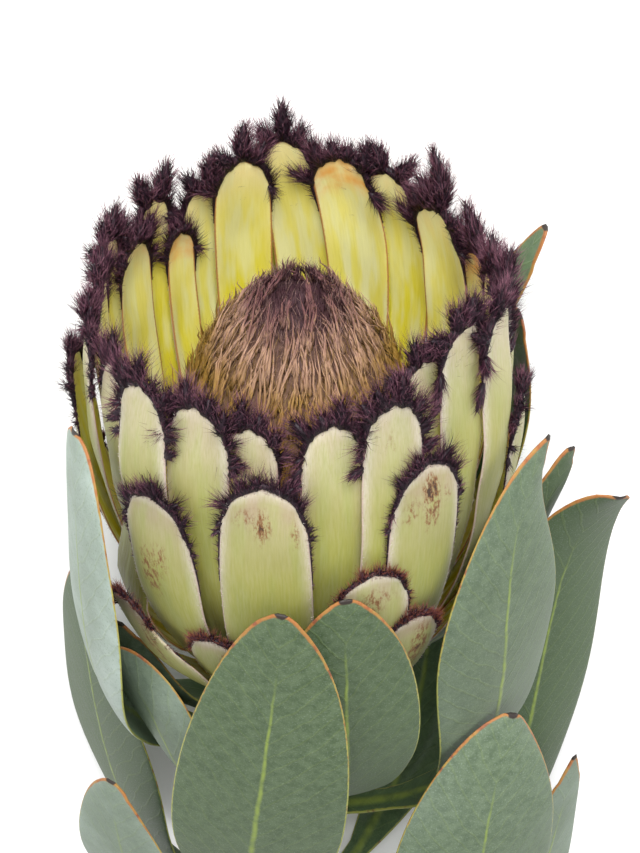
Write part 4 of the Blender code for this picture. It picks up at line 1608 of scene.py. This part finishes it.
    def blade(self, name: str, bract: Bract, number: int) -> Mesh:
        """The bract's blade, with the values that its finish reads.

        Args:
            name: The bract's name.
            bract: The bract.
            number: A number of its own, which sets its grain apart.

        Returns:
            The mesh.
        """
        shares = 1 - (1 - np.linspace(0, 1, self.rows)) ** 1.5
        spots = np.sin(np.pi / 2 * np.linspace(-1, 1, self.columns))
        share, across = np.meshgrid(shares, spots, indexing="ij")
        grid = LAYING.points(self.surface(bract, share, across))
        long = self.long(bract)
        half = self.half_width(bract, share)
        edge = np.minimum((1 - np.abs(across)) * half, (1 - share) * long * 0.9)
        thick = self.thickness / 2 * np.sqrt(np.clip(1 - across**8, 0, 1))
        thick = thick * mix(1.0, 0.5, smooth(share, 0.7, 1.0))
        silky = (1 - smooth(edge, 0.0, self.silk_band)) * smooth(share, 0.30, 0.88) * 0.90
        silky += smooth(share, 0.74, 1.0) * (0.50 if bract.layer < 3 else 0.22)
        values = {
            "share": share,
            "edge": edge,
            "place": Blade.place(across * half, share * long, number),
            "bloom": np.clip(silky, 0, 1),
            "mark": self.marks(name, bract, share, across),
            "warm": bract.warm * smooth(share, 0.84, 0.975),
            "pale": np.full_like(share, 0.15 + 0.5 * ((number * 0.618) % 1.0)),
        }
        return Blade.mesh(name, grid, thick, values)

    def silk_roots(self, bracts: tuple[Bract, ...]) -> Mesh:
        """Narrow strips along the outer faces' margins, with the way the pale silk on them grows.

        Args:
            bracts: The bracts that carry them.

        Returns:
            The strips' mesh.
        """
        points, quads, facts = [], [], {key: [] for key in ("direction", "length", "bend", "density", "tone")}
        total = 0
        for bract in bracts:
            share, across = self.rim(self.silk_low, 22)
            long = self.long(bract)
            half = self.half_width(bract, share)
            crown = smooth(share, 0.93, 1.0)
            for inset in self.silk_insets:
                down = np.where(np.abs(across) < 1, inset / long, inset * 0.5 / long)
                within = np.clip(share - down, 0, 1), across * (1 - inset / half)
                spot, up, aside, out = self.axes(bract, *within)
                points.append(spot + out * self.thickness * 0.3)
                slant = np.sign(across) * mix(0.9, 0.25 * np.abs(across), crown)
                aim = up * mix(0.55, 1.0, crown)[:, None] + aside * slant[:, None] + out * 0.16
                facts["direction"].append(LAYING.directions(unit(aim)))
                facts["length"].append(mix(*self.silk_length, crown))
                facts["bend"].append(LAYING.directions(out * 0.1))
                facts["density"].append(mix(0.35, 1.0, crown))
                facts["tone"].append(np.full(share.size, 0.80))
            index = total + np.arange(2 * share.size).reshape(2, share.size)
            total += 2 * share.size
            quads.append(grid_quads(index))
        laid = LAYING.points(np.concatenate(points))
        values = {key: np.concatenate(value) for key, value in facts.items()}
        return Piece.mesh("silk_roots", laid, np.concatenate(quads), values)

    def build(self) -> None:
        """Builds and dresses every bract and its beard."""
        skins = (BRACT_OUTSIDE.make(), BRACT_INSIDE.make())
        hairs = {finish: finish.make() for finish in (BLACK_PURPLE, PLUM, MAUVE, SILK_WHITE, SILK_ROSE, RUST)}
        groups = (
            ("tall_bract", TALL_BRACTS, TALL_BEARD),
            ("middle_bract", MIDDLE_BRACTS, MIDDLE_BEARD),
            ("low_bract", LOW_BRACTS, LOW_BEARD),
        )
        number = 0
        for group, bracts, kind in groups:
            for place, bract in enumerate(bracts, 1):
                number += 1
                name = f"{group}_{place:02d}"
                Piece.put(self.blade(name, bract, number), f"{name}_blade", Slot.BRACT, (name,), skins)
                low = kind is LOW_BEARD
                tones = (BLACK_PURPLE, PLUM, RUST if low else MAUVE, RUST if low else MAUVE)
                beard = self.bristles.grow(
                    f"{name}_beard",
                    Beard(self, bract, kind, name, number).roots(),
                    tuple(hairs[tone] for tone in tones),
                    Keep_Roots=True,
                    Density=kind.density,
                    Thickness=self.hair_half,
                    Segments=2,
                    Spread=0.20,
                    Clump=1.2,
                    Clump_Size=0.0014,
                    Curl=0.25,
                    Wave=0.0014,
                    Wave_Size=0.0020,
                    Shortest=0.45,
                    Tone_Spread=0.62,
                    # Painted highlight on the hair ends.
                    Tip_Tone=0.42,
                    Seed=number,
                )
                Piece.put(beard, f"{name}_beard", Slot.BRACT, ())
            silk = self.bristles.grow(
                f"{group}_silk",
                self.silk_roots(bracts),
                (hairs[SILK_ROSE], hairs[SILK_ROSE], hairs[SILK_ROSE], hairs[SILK_WHITE]),
                Density=5.0e6,
                Thickness=0.00006,
                Segments=1,
                Spread=0.35,
                Clump=0.9,
                Clump_Size=0.0010,
                Tone_Spread=0.6,
                Seed=number,
            )
            Piece.put(silk, f"{group}_silk", Slot.BRACT, ())


@dataclass
class FloretCone:
    """The florets: a packed core, the strands that lean over it, and their hairs."""

    bristles: Bristles
    foot_height: float = 0.0175
    apex_height: float = 0.1125
    widest_height: float = 0.076
    widest_radius: float = 0.0245
    foot_radius: float = 0.0125
    core_depth: float = 0.0016
    crown_depth: float = 0.0425
    core_sides: int = 48
    florets: int = 230
    strands: int = 7
    lowest_seat: float = 0.040
    crown_rise: tuple[float, float] = (0.096, 0.1115)
    top_gap: float = 0.0012
    seat_spread: float = 0.0022
    strand_reach: tuple[float, float] = (0.0013, 0.0008)
    strand_lift: tuple[float, float] = (0.13, 0.55)
    strand_length: tuple[float, float] = (0.0140, 0.0056)
    strand_depth: float = 0.0012
    hair_density: float = 9.0e5
    hair_foot: float = 0.050
    hair_shoulder: float = 0.09
    hair_crown: float = 0.0225
    dark_rise: tuple[float, float] = (0.101, 0.1115)
    brown_rise: tuple[float, float] = (0.084, 0.102)
    hair_lengths: tuple[float, float, float] = (0.0050, 0.0036, 0.0040)
    hair_densities: tuple[float, float, float] = (0.35, 1.3, 2.6)
    hair_lift: float = 0.0003
    core_ripple: float = 0.0003
    core_crown: float = 0.095
    core_least: float = 0.0006
    step: float = 0.0008

    def radius(self, height: Field) -> Field:
        """Distance of the cone's skin from the axis at a height."""
        low_share = (height - self.foot_height) / (self.widest_height - self.foot_height)
        low = mix(self.foot_radius, self.widest_radius, np.sin(np.pi / 2 * np.clip(low_share, 0, 1)))
        share = np.clip((height - self.widest_height) / (self.apex_height - self.widest_height), 0, 1)
        return np.where(height < self.widest_height, low, self.widest_radius * (1 - share**1.6) ** 0.7)

    def frame_at(self, azimuth: Field, height: Field) -> tuple[Field, Field, Field]:
        """The skin's own frame on the upright flower.

        Args:
            azimuth: Degrees round the axis.
            height: Height over the head's foot.

        Returns:
            The points, the way up the skin and the way out of it.
        """
        spot = around(azimuth, self.radius(height), height)
        below = height - self.step
        up = unit(spot - around(azimuth, self.radius(below), below))
        side = around(azimuth + 90, 1.0, 0.0)
        return spot, up, unit(np.cross(side, up))

    def core(self) -> Mesh:
        """The closed core under the strands."""
        low = np.linspace(self.foot_height, self.apex_height - self.crown_depth, 12)
        high = self.apex_height - self.crown_depth * np.linspace(1, 0, 26)[1:-1] ** 1.7
        heights = np.concatenate([low, high])
        turns = np.linspace(0, 360, self.core_sides, endpoint=False)
        turn, height = np.meshgrid(turns, heights)
        ripple = self.core_ripple * np.sin(turn * 0.35 + height * 900) * np.sin(height * 1400)
        radius = np.maximum(self.radius(height) - self.core_depth + ripple, self.core_least)
        height = height - self.core_depth * 0.35 * smooth(height, self.core_crown, self.apex_height)
        rings = around(turn, radius, height)
        ends = np.array([[0, 0, self.foot_height], [0, 0, self.apex_height - self.core_depth * 0.34]])
        points = np.concatenate([rings.reshape(-1, 3), ends])
        return Piece.mesh("floret_core", LAYING.points(points), turned_faces(len(heights), self.core_sides))

    def seats(self) -> tuple[Field, Field]:
        """Where the florets leave the core, spaced evenly over it, each turned by the golden angle.

        Returns:
            The azimuths in degrees and the heights.
        """
        heights = np.linspace(self.lowest_seat, self.apex_height - self.top_gap, 600)
        areas = np.cumsum(self.radius(heights) + self.seat_spread)
        wanted = areas[-1] * (np.arange(self.florets) + 0.5) / self.florets
        golden = math.degrees(math.pi * (3 - math.sqrt(5)))
        return np.arange(self.florets) * golden, np.interp(wanted, areas, heights)

    def strand_roots(self) -> Mesh:
        """One point for each strand. A floret's strands stand round its seat and meet at its tip."""
        azimuth, height = (np.repeat(v, self.strands) for v in self.seats())
        rng = np.random.default_rng(5)
        count = azimuth.size
        spot, up, out = self.frame_at(azimuth, height)
        side = around(azimuth + 90, 1.0, 0.0)
        crown = smooth(height, *self.crown_rise)
        ring = np.tile(np.arange(self.strands), self.florets) * 2 * np.pi / self.strands
        ring = ring + rng.uniform(-0.5, 0.5, count)
        reach = mix(*self.strand_reach, crown) * rng.uniform(0.6, 1.2, count)
        offset = side * (np.cos(ring) * reach)[:, None] + up * (np.sin(ring) * reach)[:, None]
        slant = np.repeat(rng.uniform(-0.12, 0.12, self.florets), self.strands)
        lift = mix(*self.strand_lift, crown) + np.repeat(rng.uniform(-0.03, 0.08, self.florets), self.strands)
        aim = unit(up + out * lift[:, None] + side * slant[:, None])
        long = mix(*self.strand_length, crown)
        long = long * np.repeat(rng.uniform(0.85, 1.15, self.florets), self.strands)
        long = long * rng.uniform(0.85, 1.05, count)
        bend = -offset * (0.85 / long)[:, None] - out * mix(0.16, 0.05, crown)[:, None]
        values = {
            "direction": LAYING.directions(aim),
            "length": long,
            "bend": LAYING.directions(bend),
            "density": np.ones(count),
            "tone": np.zeros(count),
        }
        laid = LAYING.points(spot + offset - out * self.strand_depth)
        return Piece.mesh("strand_roots", laid, [], values)

    def hair_roots(self) -> Mesh:
        """The cone's skin, with the way its hairs grow: short and dark at the apex, long and tan below."""
        low = np.linspace(self.hair_foot, self.hair_shoulder, 20)
        high = self.apex_height - self.hair_crown * np.linspace(1, 0, 18)[1:] ** 1.6
        high[-1] = self.apex_height - 0.00002
        turn, height = np.meshgrid(np.linspace(0, 360, 73), np.concatenate([low, high]))
        spot, up, out = self.frame_at(turn, height)
        crown = smooth(height, *self.dark_rise)
        aim = up + out * mix(0.35, 1.3, crown)[..., None]
        middle = smooth(height, *self.brown_rise)
        length, density = (
            mix(mix(tan, brown, middle), dark, crown)
            for tan, brown, dark in (self.hair_lengths, self.hair_densities)
        )
        values = {
            "direction": LAYING.directions(unit(aim)),
            "length": length,
            "bend": LAYING.directions(-out * mix(0.20, 0.0, crown)[..., None]),
            "density": density,
            "tone": mix(0.85, 0.50, middle) - 0.44 * crown,
        }
        index = np.arange(height.size).reshape(height.shape)
        laid = LAYING.points(spot + out * self.hair_lift)
        return Piece.mesh("hair_roots", laid, grid_quads(index), values)

    def build(self) -> None:
        """Builds and dresses the cone."""
        finish = ConeFinish(
            "floret_strands", (0.29, 0.165, 0.028), (0.37, 0.225, 0.160), (0.15, 0.065, 0.068),
            (0.10, 0.048, 0.014), 0.087, 0.1140, 1500.0, 0.30,
        )
        # The core, seen only between the strands, takes darker copies of their colours: painted shade.
        deep = ConeFinish(
            "floret_core", (0.13, 0.075, 0.018), (0.15, 0.085, 0.055), (0.045, 0.018, 0.022),
            (0.03, 0.015, 0.01), 0.078, 0.112, 900.0, 0.0,
        )
        strand = finish.make()
        Piece.put(self.core(), "floret_cone_core", Slot.FLORET, ("floret_cone",), (deep.make(),))
        strands = self.bristles.grow(
            "floret_cone_strands", self.strand_roots(), (strand,) * 4, Scatter=False, Sides=4, Segments=6,
            Thickness=0.00056, Spread=0.06, Clump=0.45, Clump_Size=0.0036, Curl=0.16, Wave=0.0030,
            Wave_Size=0.0036, Shortest=0.9, Seed=3,
        )
        Piece.put(strands, "floret_cone_strands", Slot.FLORET, ())
        tones = (CONE_PURPLE, CONE_MAUVE, CONE_TAN, CONE_STRAW)
        hairs = self.bristles.grow(
            "floret_cone_hairs", self.hair_roots(), tuple(tone.make() for tone in tones),
            Density=self.hair_density, Segments=2, Thickness=0.00007, Spread=0.25, Clump=0.9,
            Clump_Size=0.0016, Curl=0.25, Wave=0.0022, Wave_Size=0.0022, Tone_Spread=0.42, Seed=9,
        )
        Piece.put(hairs, "floret_cone_hairs", Slot.FLORET, ())


@dataclass(frozen=True)
class Leaf:
    """One leaf, from its seat on the stem to its tip, with azimuths in degrees and the rest in metres.

    facing is the azimuth that the blade's outer face looks to. The midrib leaves the stem by reach outward
    and rise upward, and comes to the tip along over, leaning outward by lean degrees and swayed sideways. cup
    bends the margins inward, widest is the share of the length where it is widest, and a low blunt rounds its
    end. wax is the waxy bloom on its outer face, in part a painted sheen where the leaf faces the light, and
    below zero the leaf is painted darker than its fellows instead, as painted shade.
    """

    seat_azimuth: float
    seat_height: float
    tip_azimuth: float
    tip_distance: float
    tip_height: float
    half: float
    facing: float
    reach: float = 0.036
    rise: float = 0.012
    over: float = 0.050
    lean: float = 0.0
    sway: float = 0.0
    cup: float = 0.08
    widest: float = 0.55
    blunt: float = 0.62
    wax_and_painted_light: float = 0.12


LEAVES = {
    "leaf_front_left": Leaf(-30, -0.0740, -4, 0.0525, 0.0715, 0.0192, -12, reach=0.044, over=0.068,
                            sway=-0.003, wax_and_painted_light=-0.02),
    "leaf_front_centre": Leaf(16, -0.0300, 10.5, 0.0500, 0.0720, 0.0160, 10, reach=0.04, over=0.055,
                              widest=0.62, wax_and_painted_light=-0.25),
    "leaf_right_low": Leaf(53, -0.1090, 58.6, 0.0546, 0.0116, 0.0204, 19, reach=0.0524, rise=0.0078,
                           over=0.0331, lean=-2.8, sway=-0.026, cup=0.228, widest=0.624, blunt=0.569,
                           wax_and_painted_light=0.14),
    "leaf_right_tall": Leaf(77.6, -0.0560, 68, 0.0544, 0.0887, 0.0170, 40.6, reach=0.0626, rise=0.0193,
                            over=0.0251, lean=19.7, sway=-0.0364, cup=0.146, widest=0.654, blunt=0.918,
                            wax_and_painted_light=0.1),
    "leaf_right_spread": Leaf(72, -0.0983, 93.5, 0.0707, 0.0453, 0.0168, 28.1, reach=0.0657, rise=0.0054,
                              over=0.0367, lean=41.5, sway=0.0156, cup=0.187, widest=0.62, blunt=0.45,
                              wax_and_painted_light=-0.60),
    "leaf_right_behind": Leaf(104.7, -0.0170, 98.3, 0.0601, 0.0567, 0.0078, 44.7, reach=0.0479,
                              rise=0.0132, over=0.0263, lean=24, sway=-0.0046, cup=0.14, widest=0.533,
                              blunt=0.45, wax_and_painted_light=-0.35),
    "leaf_back_right_high": Leaf(156, -0.0151, 127.2, 0.0681, 0.0920, 0.0080, 108.5, reach=0.0474,
                                 rise=0.0045, over=0.0414, lean=35.4, sway=0.0035, cup=0.033, widest=0.494,
                                 blunt=0.494, wax_and_painted_light=0.35),
    "leaf_back_right": Leaf(126.4, -0.0238, 113.6, 0.0517, 0.0851, 0.0109, 103.1, reach=0.0322,
                            rise=0.0165, over=0.0489, lean=-9.5, sway=0.0025, cup=0.056, widest=0.579,
                            blunt=0.45, wax_and_painted_light=-0.35),
    "leaf_right_bottom": Leaf(70.2, -0.1335, 83.7, 0.0651, -0.0301, 0.0130, 44, reach=0.046, rise=0.004,
                              over=0.0596, lean=6, sway=-0.005, cup=0.085, widest=0.493, blunt=0.809,
                              wax_and_painted_light=0.35),
    "leaf_left_tall": Leaf(-92.5, -0.0356, -66.7, 0.0488, 0.0901, 0.0143, -67, reach=0.042, rise=0.0165,
                           over=0.0785, lean=-8.8, sway=0.0228, cup=0.178, widest=0.72, blunt=0.45,
                           wax_and_painted_light=0.80),
    "leaf_left_behind": Leaf(-92.6, -0.1030, -95, 0.0506, 0.0275, 0.0213, -57.6, reach=0.0504,
                             rise=-0.0007, over=0.0442, lean=3, sway=0.0009, cup=0.115, widest=0.556,
                             blunt=1.1, wax_and_painted_light=-0.45),
    "leaf_left_small": Leaf(-61.9, -0.0388, -60.8, 0.0465, 0.0275, 0.0130, -47.4, reach=0.0347,
                            rise=0.0046, over=0.02, lean=20.9, sway=0.0267, cup=0.19, widest=0.715,
                            blunt=0.45, wax_and_painted_light=0.3),
    "leaf_left_low": Leaf(-66, -0.1080, -55, 0.0520, -0.0090, 0.0160, -36, wax_and_painted_light=0.45),
    "leaf_under": Leaf(180, -0.0420, 180, 0.0500, 0.0760, 0.0160, 180, reach=0.04, over=0.055),
    "leaf_under_left": Leaf(-97.2, -0.0303, -63.2, 0.0436, 0.0329, 0.0131, -36.9, reach=0.015, rise=0.0211,
                            over=0.0362, lean=5.6, sway=0.008, cup=0.111, widest=0.569, blunt=0.788),
    "leaf_under_right": Leaf(135.2, -0.0971, 138, 0.0500, 0.0340, 0.0164, 147.1, reach=0.0378, rise=0.0081,
                             over=0.0508, lean=-0.2, sway=0.0002, cup=0.074, widest=0.533, blunt=0.615),
}


@dataclass
class Stem:
    """The woody stem with its leaf scars, and the receptacle under the head."""

    length: float = 0.150
    cut_radius: float = 0.0046
    neck_radius: float = 0.0052
    neck_height: float = -0.012
    neck_bend: float = -0.0095
    ribs_end: float = -0.006
    cup_foot: float = 0.002
    sweep: float = 0.004
    receptacle_top: float = 0.017
    top_radius: float = 0.0125
    seat_top: float = 0.016
    seat_gap: float = 0.0003
    ribs: int = 7
    rib_depth: float = 0.00012
    scar_turn: float = 26
    scar_height: float = 0.0026
    scar_swell: float = 0.0006
    hollow: float = 0.00012
    sharp_from: float = math.radians(50)
    sides: int = 40

    def bend(self, height: Field) -> Field:
        """How far the stem's middle is to the right of the axis."""
        return self.sweep * smooth(-height, 0.0, self.length)

    def receptacle_radius(self, goblet: Goblet, height: Field | float) -> Field:
        """Distance of the receptacle's side from the axis at a height."""
        layer = (self.seat_top - height) / goblet.seat_step
        seat = goblet.cup_radius(np.asarray(height, dtype=float)) + layer * goblet.foot_step
        return seat - goblet.thickness / 2 - self.seat_gap

    def radius(self, goblet: Goblet, height: float) -> float:
        """The stem's radius below the head.

        Args:
            goblet: The bracts, whose feet shape the receptacle.
            height: The height, below 0.

        Returns:
            The radius there.
        """
        share = (height + self.length) / (self.neck_height + self.length)
        if share <= 1:
            return mix(self.cut_radius, self.neck_radius, share)
        top = float(self.receptacle_radius(goblet, 0.0))
        return mix(self.neck_radius, top, (height - self.neck_height) / -self.neck_height)

    def build(self, goblet: Goblet) -> None:
        """Builds and dresses the stem.

        Args:
            goblet: The bracts, whose feet shape the receptacle.
        """
        wood, neck = np.linspace(-self.length, self.neck_height, 70), np.linspace(self.neck_bend, 0.0, 6)
        heights = np.concatenate([wood, neck])
        top = float(self.receptacle_radius(goblet, 0.0))
        known = [-self.length, self.neck_height, self.neck_height / 2.6, 0.0]
        widths = [self.cut_radius, self.neck_radius, mix(self.neck_radius, top, 0.45), top]
        radii = np.interp(heights, known, widths)
        cup = np.linspace(self.cup_foot, self.seat_top, 8)
        heights = np.concatenate([heights, cup, [self.receptacle_top]])
        radii = np.concatenate([radii, self.receptacle_radius(goblet, cup), [self.top_radius]])
        turns = np.linspace(0, 360, self.sides, endpoint=False)
        turn, height = np.meshgrid(turns, heights)
        radius = np.repeat(radii[:, None], self.sides, axis=1)
        below = 1 - smooth(height, self.ribs_end, 0.0)
        radius = radius - below * self.rib_depth * (1 + np.sin(np.radians(turn) * self.ribs + height * 160))
        for leaf in LEAVES.values():
            off = (turn - leaf.seat_azimuth + 180) % 360 - 180
            near = (off / self.scar_turn) ** 2 + ((height - leaf.seat_height) / self.scar_height) ** 2
            radius = radius + self.scar_swell * np.exp(-near)
        rings = around(turn, radius, height)
        rings[..., 0] += self.bend(height)
        cut_middle = [float(self.bend(-self.length)), 0, -self.length + self.hollow]
        ends = np.array([cut_middle, [0, 0, self.receptacle_top]])
        points = np.concatenate([rings.reshape(-1, 3), ends])
        count, sides = len(heights), self.sides
        faces = turned_faces(count, sides)
        laid = LAYING.points(points)
        laid[:, 2] = np.maximum(laid[:, 2], 0.0)
        ring = np.ones(len(points))
        ring[count * sides] = 0.0
        mesh = Piece.mesh("stem", laid, faces, {"ring": ring})
        slots = np.zeros(len(faces), dtype=np.int32)
        slots[(count - 1) * sides : count * sides] = 1
        mesh.polygons.foreach_set("material_index", slots)
        mesh.set_sharp_from_angle(angle=self.sharp_from)
        bark = BarkFinish("stem_skin", (0.16, 0.17, 0.05), (0.20, 0.095, 0.05), (0.42, 0.36, 0.24))
        cut = CutWoodFinish("stem_cut", (0.55, 0.50, 0.30), (0.28, 0.20, 0.10))
        Piece.put(mesh, "stem_wood", Slot.STEM, ("stem",), (bark.make(), cut.make()))


@dataclass
class Foliage:
    """The leaves."""

    stem: Stem
    goblet: Goblet
    thickness: float = 0.0009
    stalk_half: float = 0.0026
    point_half: float = 0.0006
    point_high: float = 0.0010
    point_wide: float = 0.0014
    rib_depth: float = 0.00035
    rib_half: float = 0.0011
    ripple_depth: float = 0.00045
    ripple_least: float = 0.004
    turn_share: tuple[float, float] = (0.04, 0.40)
    line_steps: int = 40
    rows: int = 46
    columns: int = 21

    def half_width(self, leaf: Leaf, share: Field) -> Field:
        """Half the leaf's width, which its stalk and its point keep from being nothing.

        Args:
            leaf: The leaf.
            share: The share of its length.

        Returns:
            Half its width there.
        """
        low = np.sin(np.pi / 2 * np.clip(share / leaf.widest, 0, 1)) ** 1.25
        beyond = np.clip((share - leaf.widest) / (1 - leaf.widest), 0, 1)
        high = np.clip(1 - beyond**2, 0, 1) ** leaf.blunt
        least = self.stalk_half * (1 - smooth(share, 0.4, 0.9)) + self.point_half
        return np.maximum(leaf.half * np.where(share < leaf.widest, low, high), least)

    def line(self, leaf: Leaf) -> tuple[Field, Field]:
        """The curve that the leaf's midrib follows on the upright flower.

        Args:
            leaf: The leaf.

        Returns:
            Points along the curve, and the distance to each along it.
        """
        lift = self.thickness / 2 * leaf.rise / math.hypot(leaf.reach, leaf.rise)
        seat = float(self.stem.radius(self.goblet, leaf.seat_height)) + self.stem.seat_gap + lift
        foot = around(leaf.seat_azimuth, seat, leaf.seat_height)
        foot[0] += float(self.stem.bend(leaf.seat_height))
        tip = around(leaf.tip_azimuth, leaf.tip_distance, leaf.tip_height)
        first = foot + around(leaf.seat_azimuth, leaf.reach, leaf.rise)
        lean = math.radians(leaf.lean)
        last = tip - around(leaf.tip_azimuth, math.sin(lean), math.cos(lean)) * leaf.over
        last = last + around(leaf.tip_azimuth + 90, leaf.sway, 0.0)
        share = np.linspace(0, 1, self.line_steps + 1)[:, None]
        back = 1 - share
        points = foot * back**3 + first * (3 * back**2 * share)
        points = points + last * (3 * back * share**2) + tip * share**3
        steps = np.linalg.norm(np.diff(points, axis=0), axis=1)
        return points, np.concatenate([[0.0], np.cumsum(steps)])

    def along(self, line: tuple[Field, Field], share: Field) -> tuple[Field, Field]:
        """Points at shares of a line's length, and the line's direction there.

        Args:
            line: Points along the line, and the distance to each along it.
            share: The shares of its length.

        Returns:
            The points and the directions.
        """
        points, lengths = line
        wanted = share * lengths[-1]
        spot = np.stack([np.interp(wanted, lengths, points[:, k]) for k in range(3)], axis=-1)
        slopes = np.gradient(points, axis=0)
        slope = np.stack([np.interp(wanted, lengths, slopes[:, k]) for k in range(3)], axis=-1)
        return spot, unit(slope)

    def blade(self, name: str, leaf: Leaf, number: int) -> Mesh:
        """The leaf's blade, with the values that its finish reads.

        Args:
            name: The leaf's name.
            leaf: The leaf.
            number: A number of its own, which sets its grain apart.

        Returns:
            The mesh.
        """
        shares = 1 - (1 - np.linspace(0, 1, self.rows)) ** 1.4
        spots = np.sin(np.pi / 2 * np.linspace(-1, 1, self.columns))
        line = self.line(leaf)
        spot, slope = self.along(line, shares)
        swing = (leaf.facing - leaf.seat_azimuth + 180) % 360 - 180
        outward = around(leaf.seat_azimuth + swing * smooth(shares, *self.turn_share), 1.0, 0.0)
        aside = unit(np.cross(slope, outward))
        out = unit(np.cross(aside, slope))
        half = self.half_width(leaf, shares)
        share, across = np.meshgrid(shares, spots, indexing="ij")
        wide = half[:, None]
        long = line[1][-1]
        bowl = leaf.cup * wide * across**2
        rib = self.rib_depth * np.exp(-((across * wide / self.rib_half) ** 2)) * (1 - share)
        wave = np.sin(share * 17 + number * 1.7 + across) * smooth(share, 0.25, 0.5)
        ripple = self.ripple_depth * across**2 * wave * (wide > self.ripple_least)
        grid = spot[:, None] + aside[:, None] * (across * wide)[..., None]
        grid = grid + out[:, None] * (ripple - bowl - rib)[..., None]
        laid = LAYING.points(grid)
        laid[..., 2] = np.maximum(laid[..., 2], self.thickness / 2)
        edge = np.minimum((1 - np.abs(across)) * wide, (1 - share) * long * 0.8)
        below = (1 - share) * long / self.point_high
        thick = self.thickness / 2 * np.sqrt(np.clip(1 - across**14, 0, 1))
        thick = thick * mix(1.0, 0.7, smooth(share, 0.5, 1.0))
        values = {
            "share": share,
            "edge": edge,
            "place": Blade.place(across * wide, share * long, number),
            # bloom is waxy bloom with a painted sheen; shade, from a wax below zero, is painted shade.
            "bloom": np.clip(leaf.wax_and_painted_light * mix(0.7, 1.0, across**2), 0, 1),
            "shade": np.full_like(share, max(-leaf.wax_and_painted_light, 0.0)),
            "mark": 1.5 * np.exp(-below**2 - (across * wide / self.point_wide) ** 2),
        }
        return Blade.mesh(name, laid, thick, values, floor=0.0)

    def build(self) -> None:
        """Builds and dresses every leaf."""
        skins = (LEAF_OUTSIDE.make(), LEAF_INSIDE.make())
        for number, (name, leaf) in enumerate(LEAVES.items(), 1):
            Piece.put(self.blade(name, leaf, number), f"{name}_blade", Slot.LEAF, (name,), skins)


@dataclass(frozen=True)
class PhotoCamera:
    """The camera, at the photograph's angle to the upright flower, in a picture 640 by 853."""

    aim_height: float = 0.112
    distance: float = 0.520
    elevation: float = math.radians(41.0)
    pitch: float = math.radians(44.18)
    yaw: float = math.radians(-0.67)
    focal_pixels: float = 2600.0
    picture_height: float = 853.0
    sensor: float = 36.0
    nearest: float = 0.01

    def build(self) -> None:
        """Builds the scene's camera."""
        place = np.array([0.0, -math.cos(self.elevation) * self.distance,
                          self.aim_height + math.sin(self.elevation) * self.distance])
        forward = -np.array([math.sin(self.yaw) * math.cos(self.pitch),
                             -math.cos(self.yaw) * math.cos(self.pitch), math.sin(self.pitch)])
        right = unit(np.cross(forward, [0.0, 0.0, 1.0]))
        up = np.cross(right, forward)
        upright = Matrix(np.column_stack([right, up, -forward]).tolist()).to_4x4()
        upright.translation = Vector(place.tolist())
        data = bpy.data.cameras.new("photo_camera")
        data.sensor_width = self.sensor
        data.lens = self.sensor * self.focal_pixels / self.picture_height
        data.clip_start = self.nearest
        camera = bpy.data.objects.new("photo_camera", data)
        camera.matrix_world = LAYING.matrix() @ upright
        bpy.context.scene.collection.objects.link(camera)
        bpy.context.scene.camera = camera


@dataclass(frozen=True)
class Softbox:
    """One large soft light: its place, what it faces, its side and its power."""

    name: str
    place: Point
    side: float
    power: float
    colour: Colour = (1.0, 1.0, 1.0)


@dataclass
class Studio:
    """The plain pale floor and the soft light."""

    world: float = 0.9
    floor_side: float = 4.0
    lit: Point = (0.0, 0.0, 0.04)
    lights: tuple[Softbox, ...] = (
        Softbox("left_softbox", (-0.80, 0.25, 0.70), 0.7, 3.0),
        Softbox("right_softbox", (0.85, 0.20, 0.55), 0.6, 2.0),
        Softbox("mouth_softbox", (0.05, 0.90, 0.80), 0.5, 22.0),
    )

    def build(self) -> None:
        """Builds the floor, the lights and the sky."""
        half = self.floor_side / 2
        corners = half * np.array([[-1.0, -1, 0], [1, -1, 0], [1, 1, 0], [-1, 1, 0]])
        mesh = Piece.mesh("floor", corners, [[0, 1, 2, 3]])
        mesh.materials.append(FloorFinish("pale_floor", (0.90, 0.90, 0.90)).make())
        floor = bpy.data.objects.new("floor", mesh)
        bpy.context.scene.collection.objects.link(floor)
        for box in self.lights:
            data = bpy.data.lights.new(box.name, "AREA")
            data.size = box.side
            data.energy = box.power
            data.color = box.colour
            light = bpy.data.objects.new(box.name, data)
            place = Vector(box.place)
            aim = (Vector(self.lit) - place).to_track_quat("-Z", "Y")
            light.matrix_world = Matrix.Translation(place) @ aim.to_matrix().to_4x4()
            bpy.context.scene.collection.objects.link(light)
        world = bpy.data.worlds.new("studio_sky")
        world.use_nodes = True
        back = world.node_tree.nodes["Background"]
        back.inputs["Color"].default_value = (1.0, 1.0, 1.0, 1.0)
        back.inputs["Strength"].default_value = self.world
        bpy.context.scene.world = world
        bpy.context.scene.view_settings.view_transform = "Standard"


def main() -> None:
    """Builds the camera and the studio, then the flower, piece by piece."""
    logging.basicConfig(level=logging.INFO, format="%(message)s")
    PhotoCamera().build()
    Studio().build()
    bristles = Bristles()
    goblet = Goblet(bristles)
    goblet.build()
    FloretCone(bristles).build()
    stem = Stem()
    stem.build(goblet)
    Foliage(stem, goblet).build()
    log.info("in all: %d triangles", Piece.count)


if __name__ == "__main__":
    main()
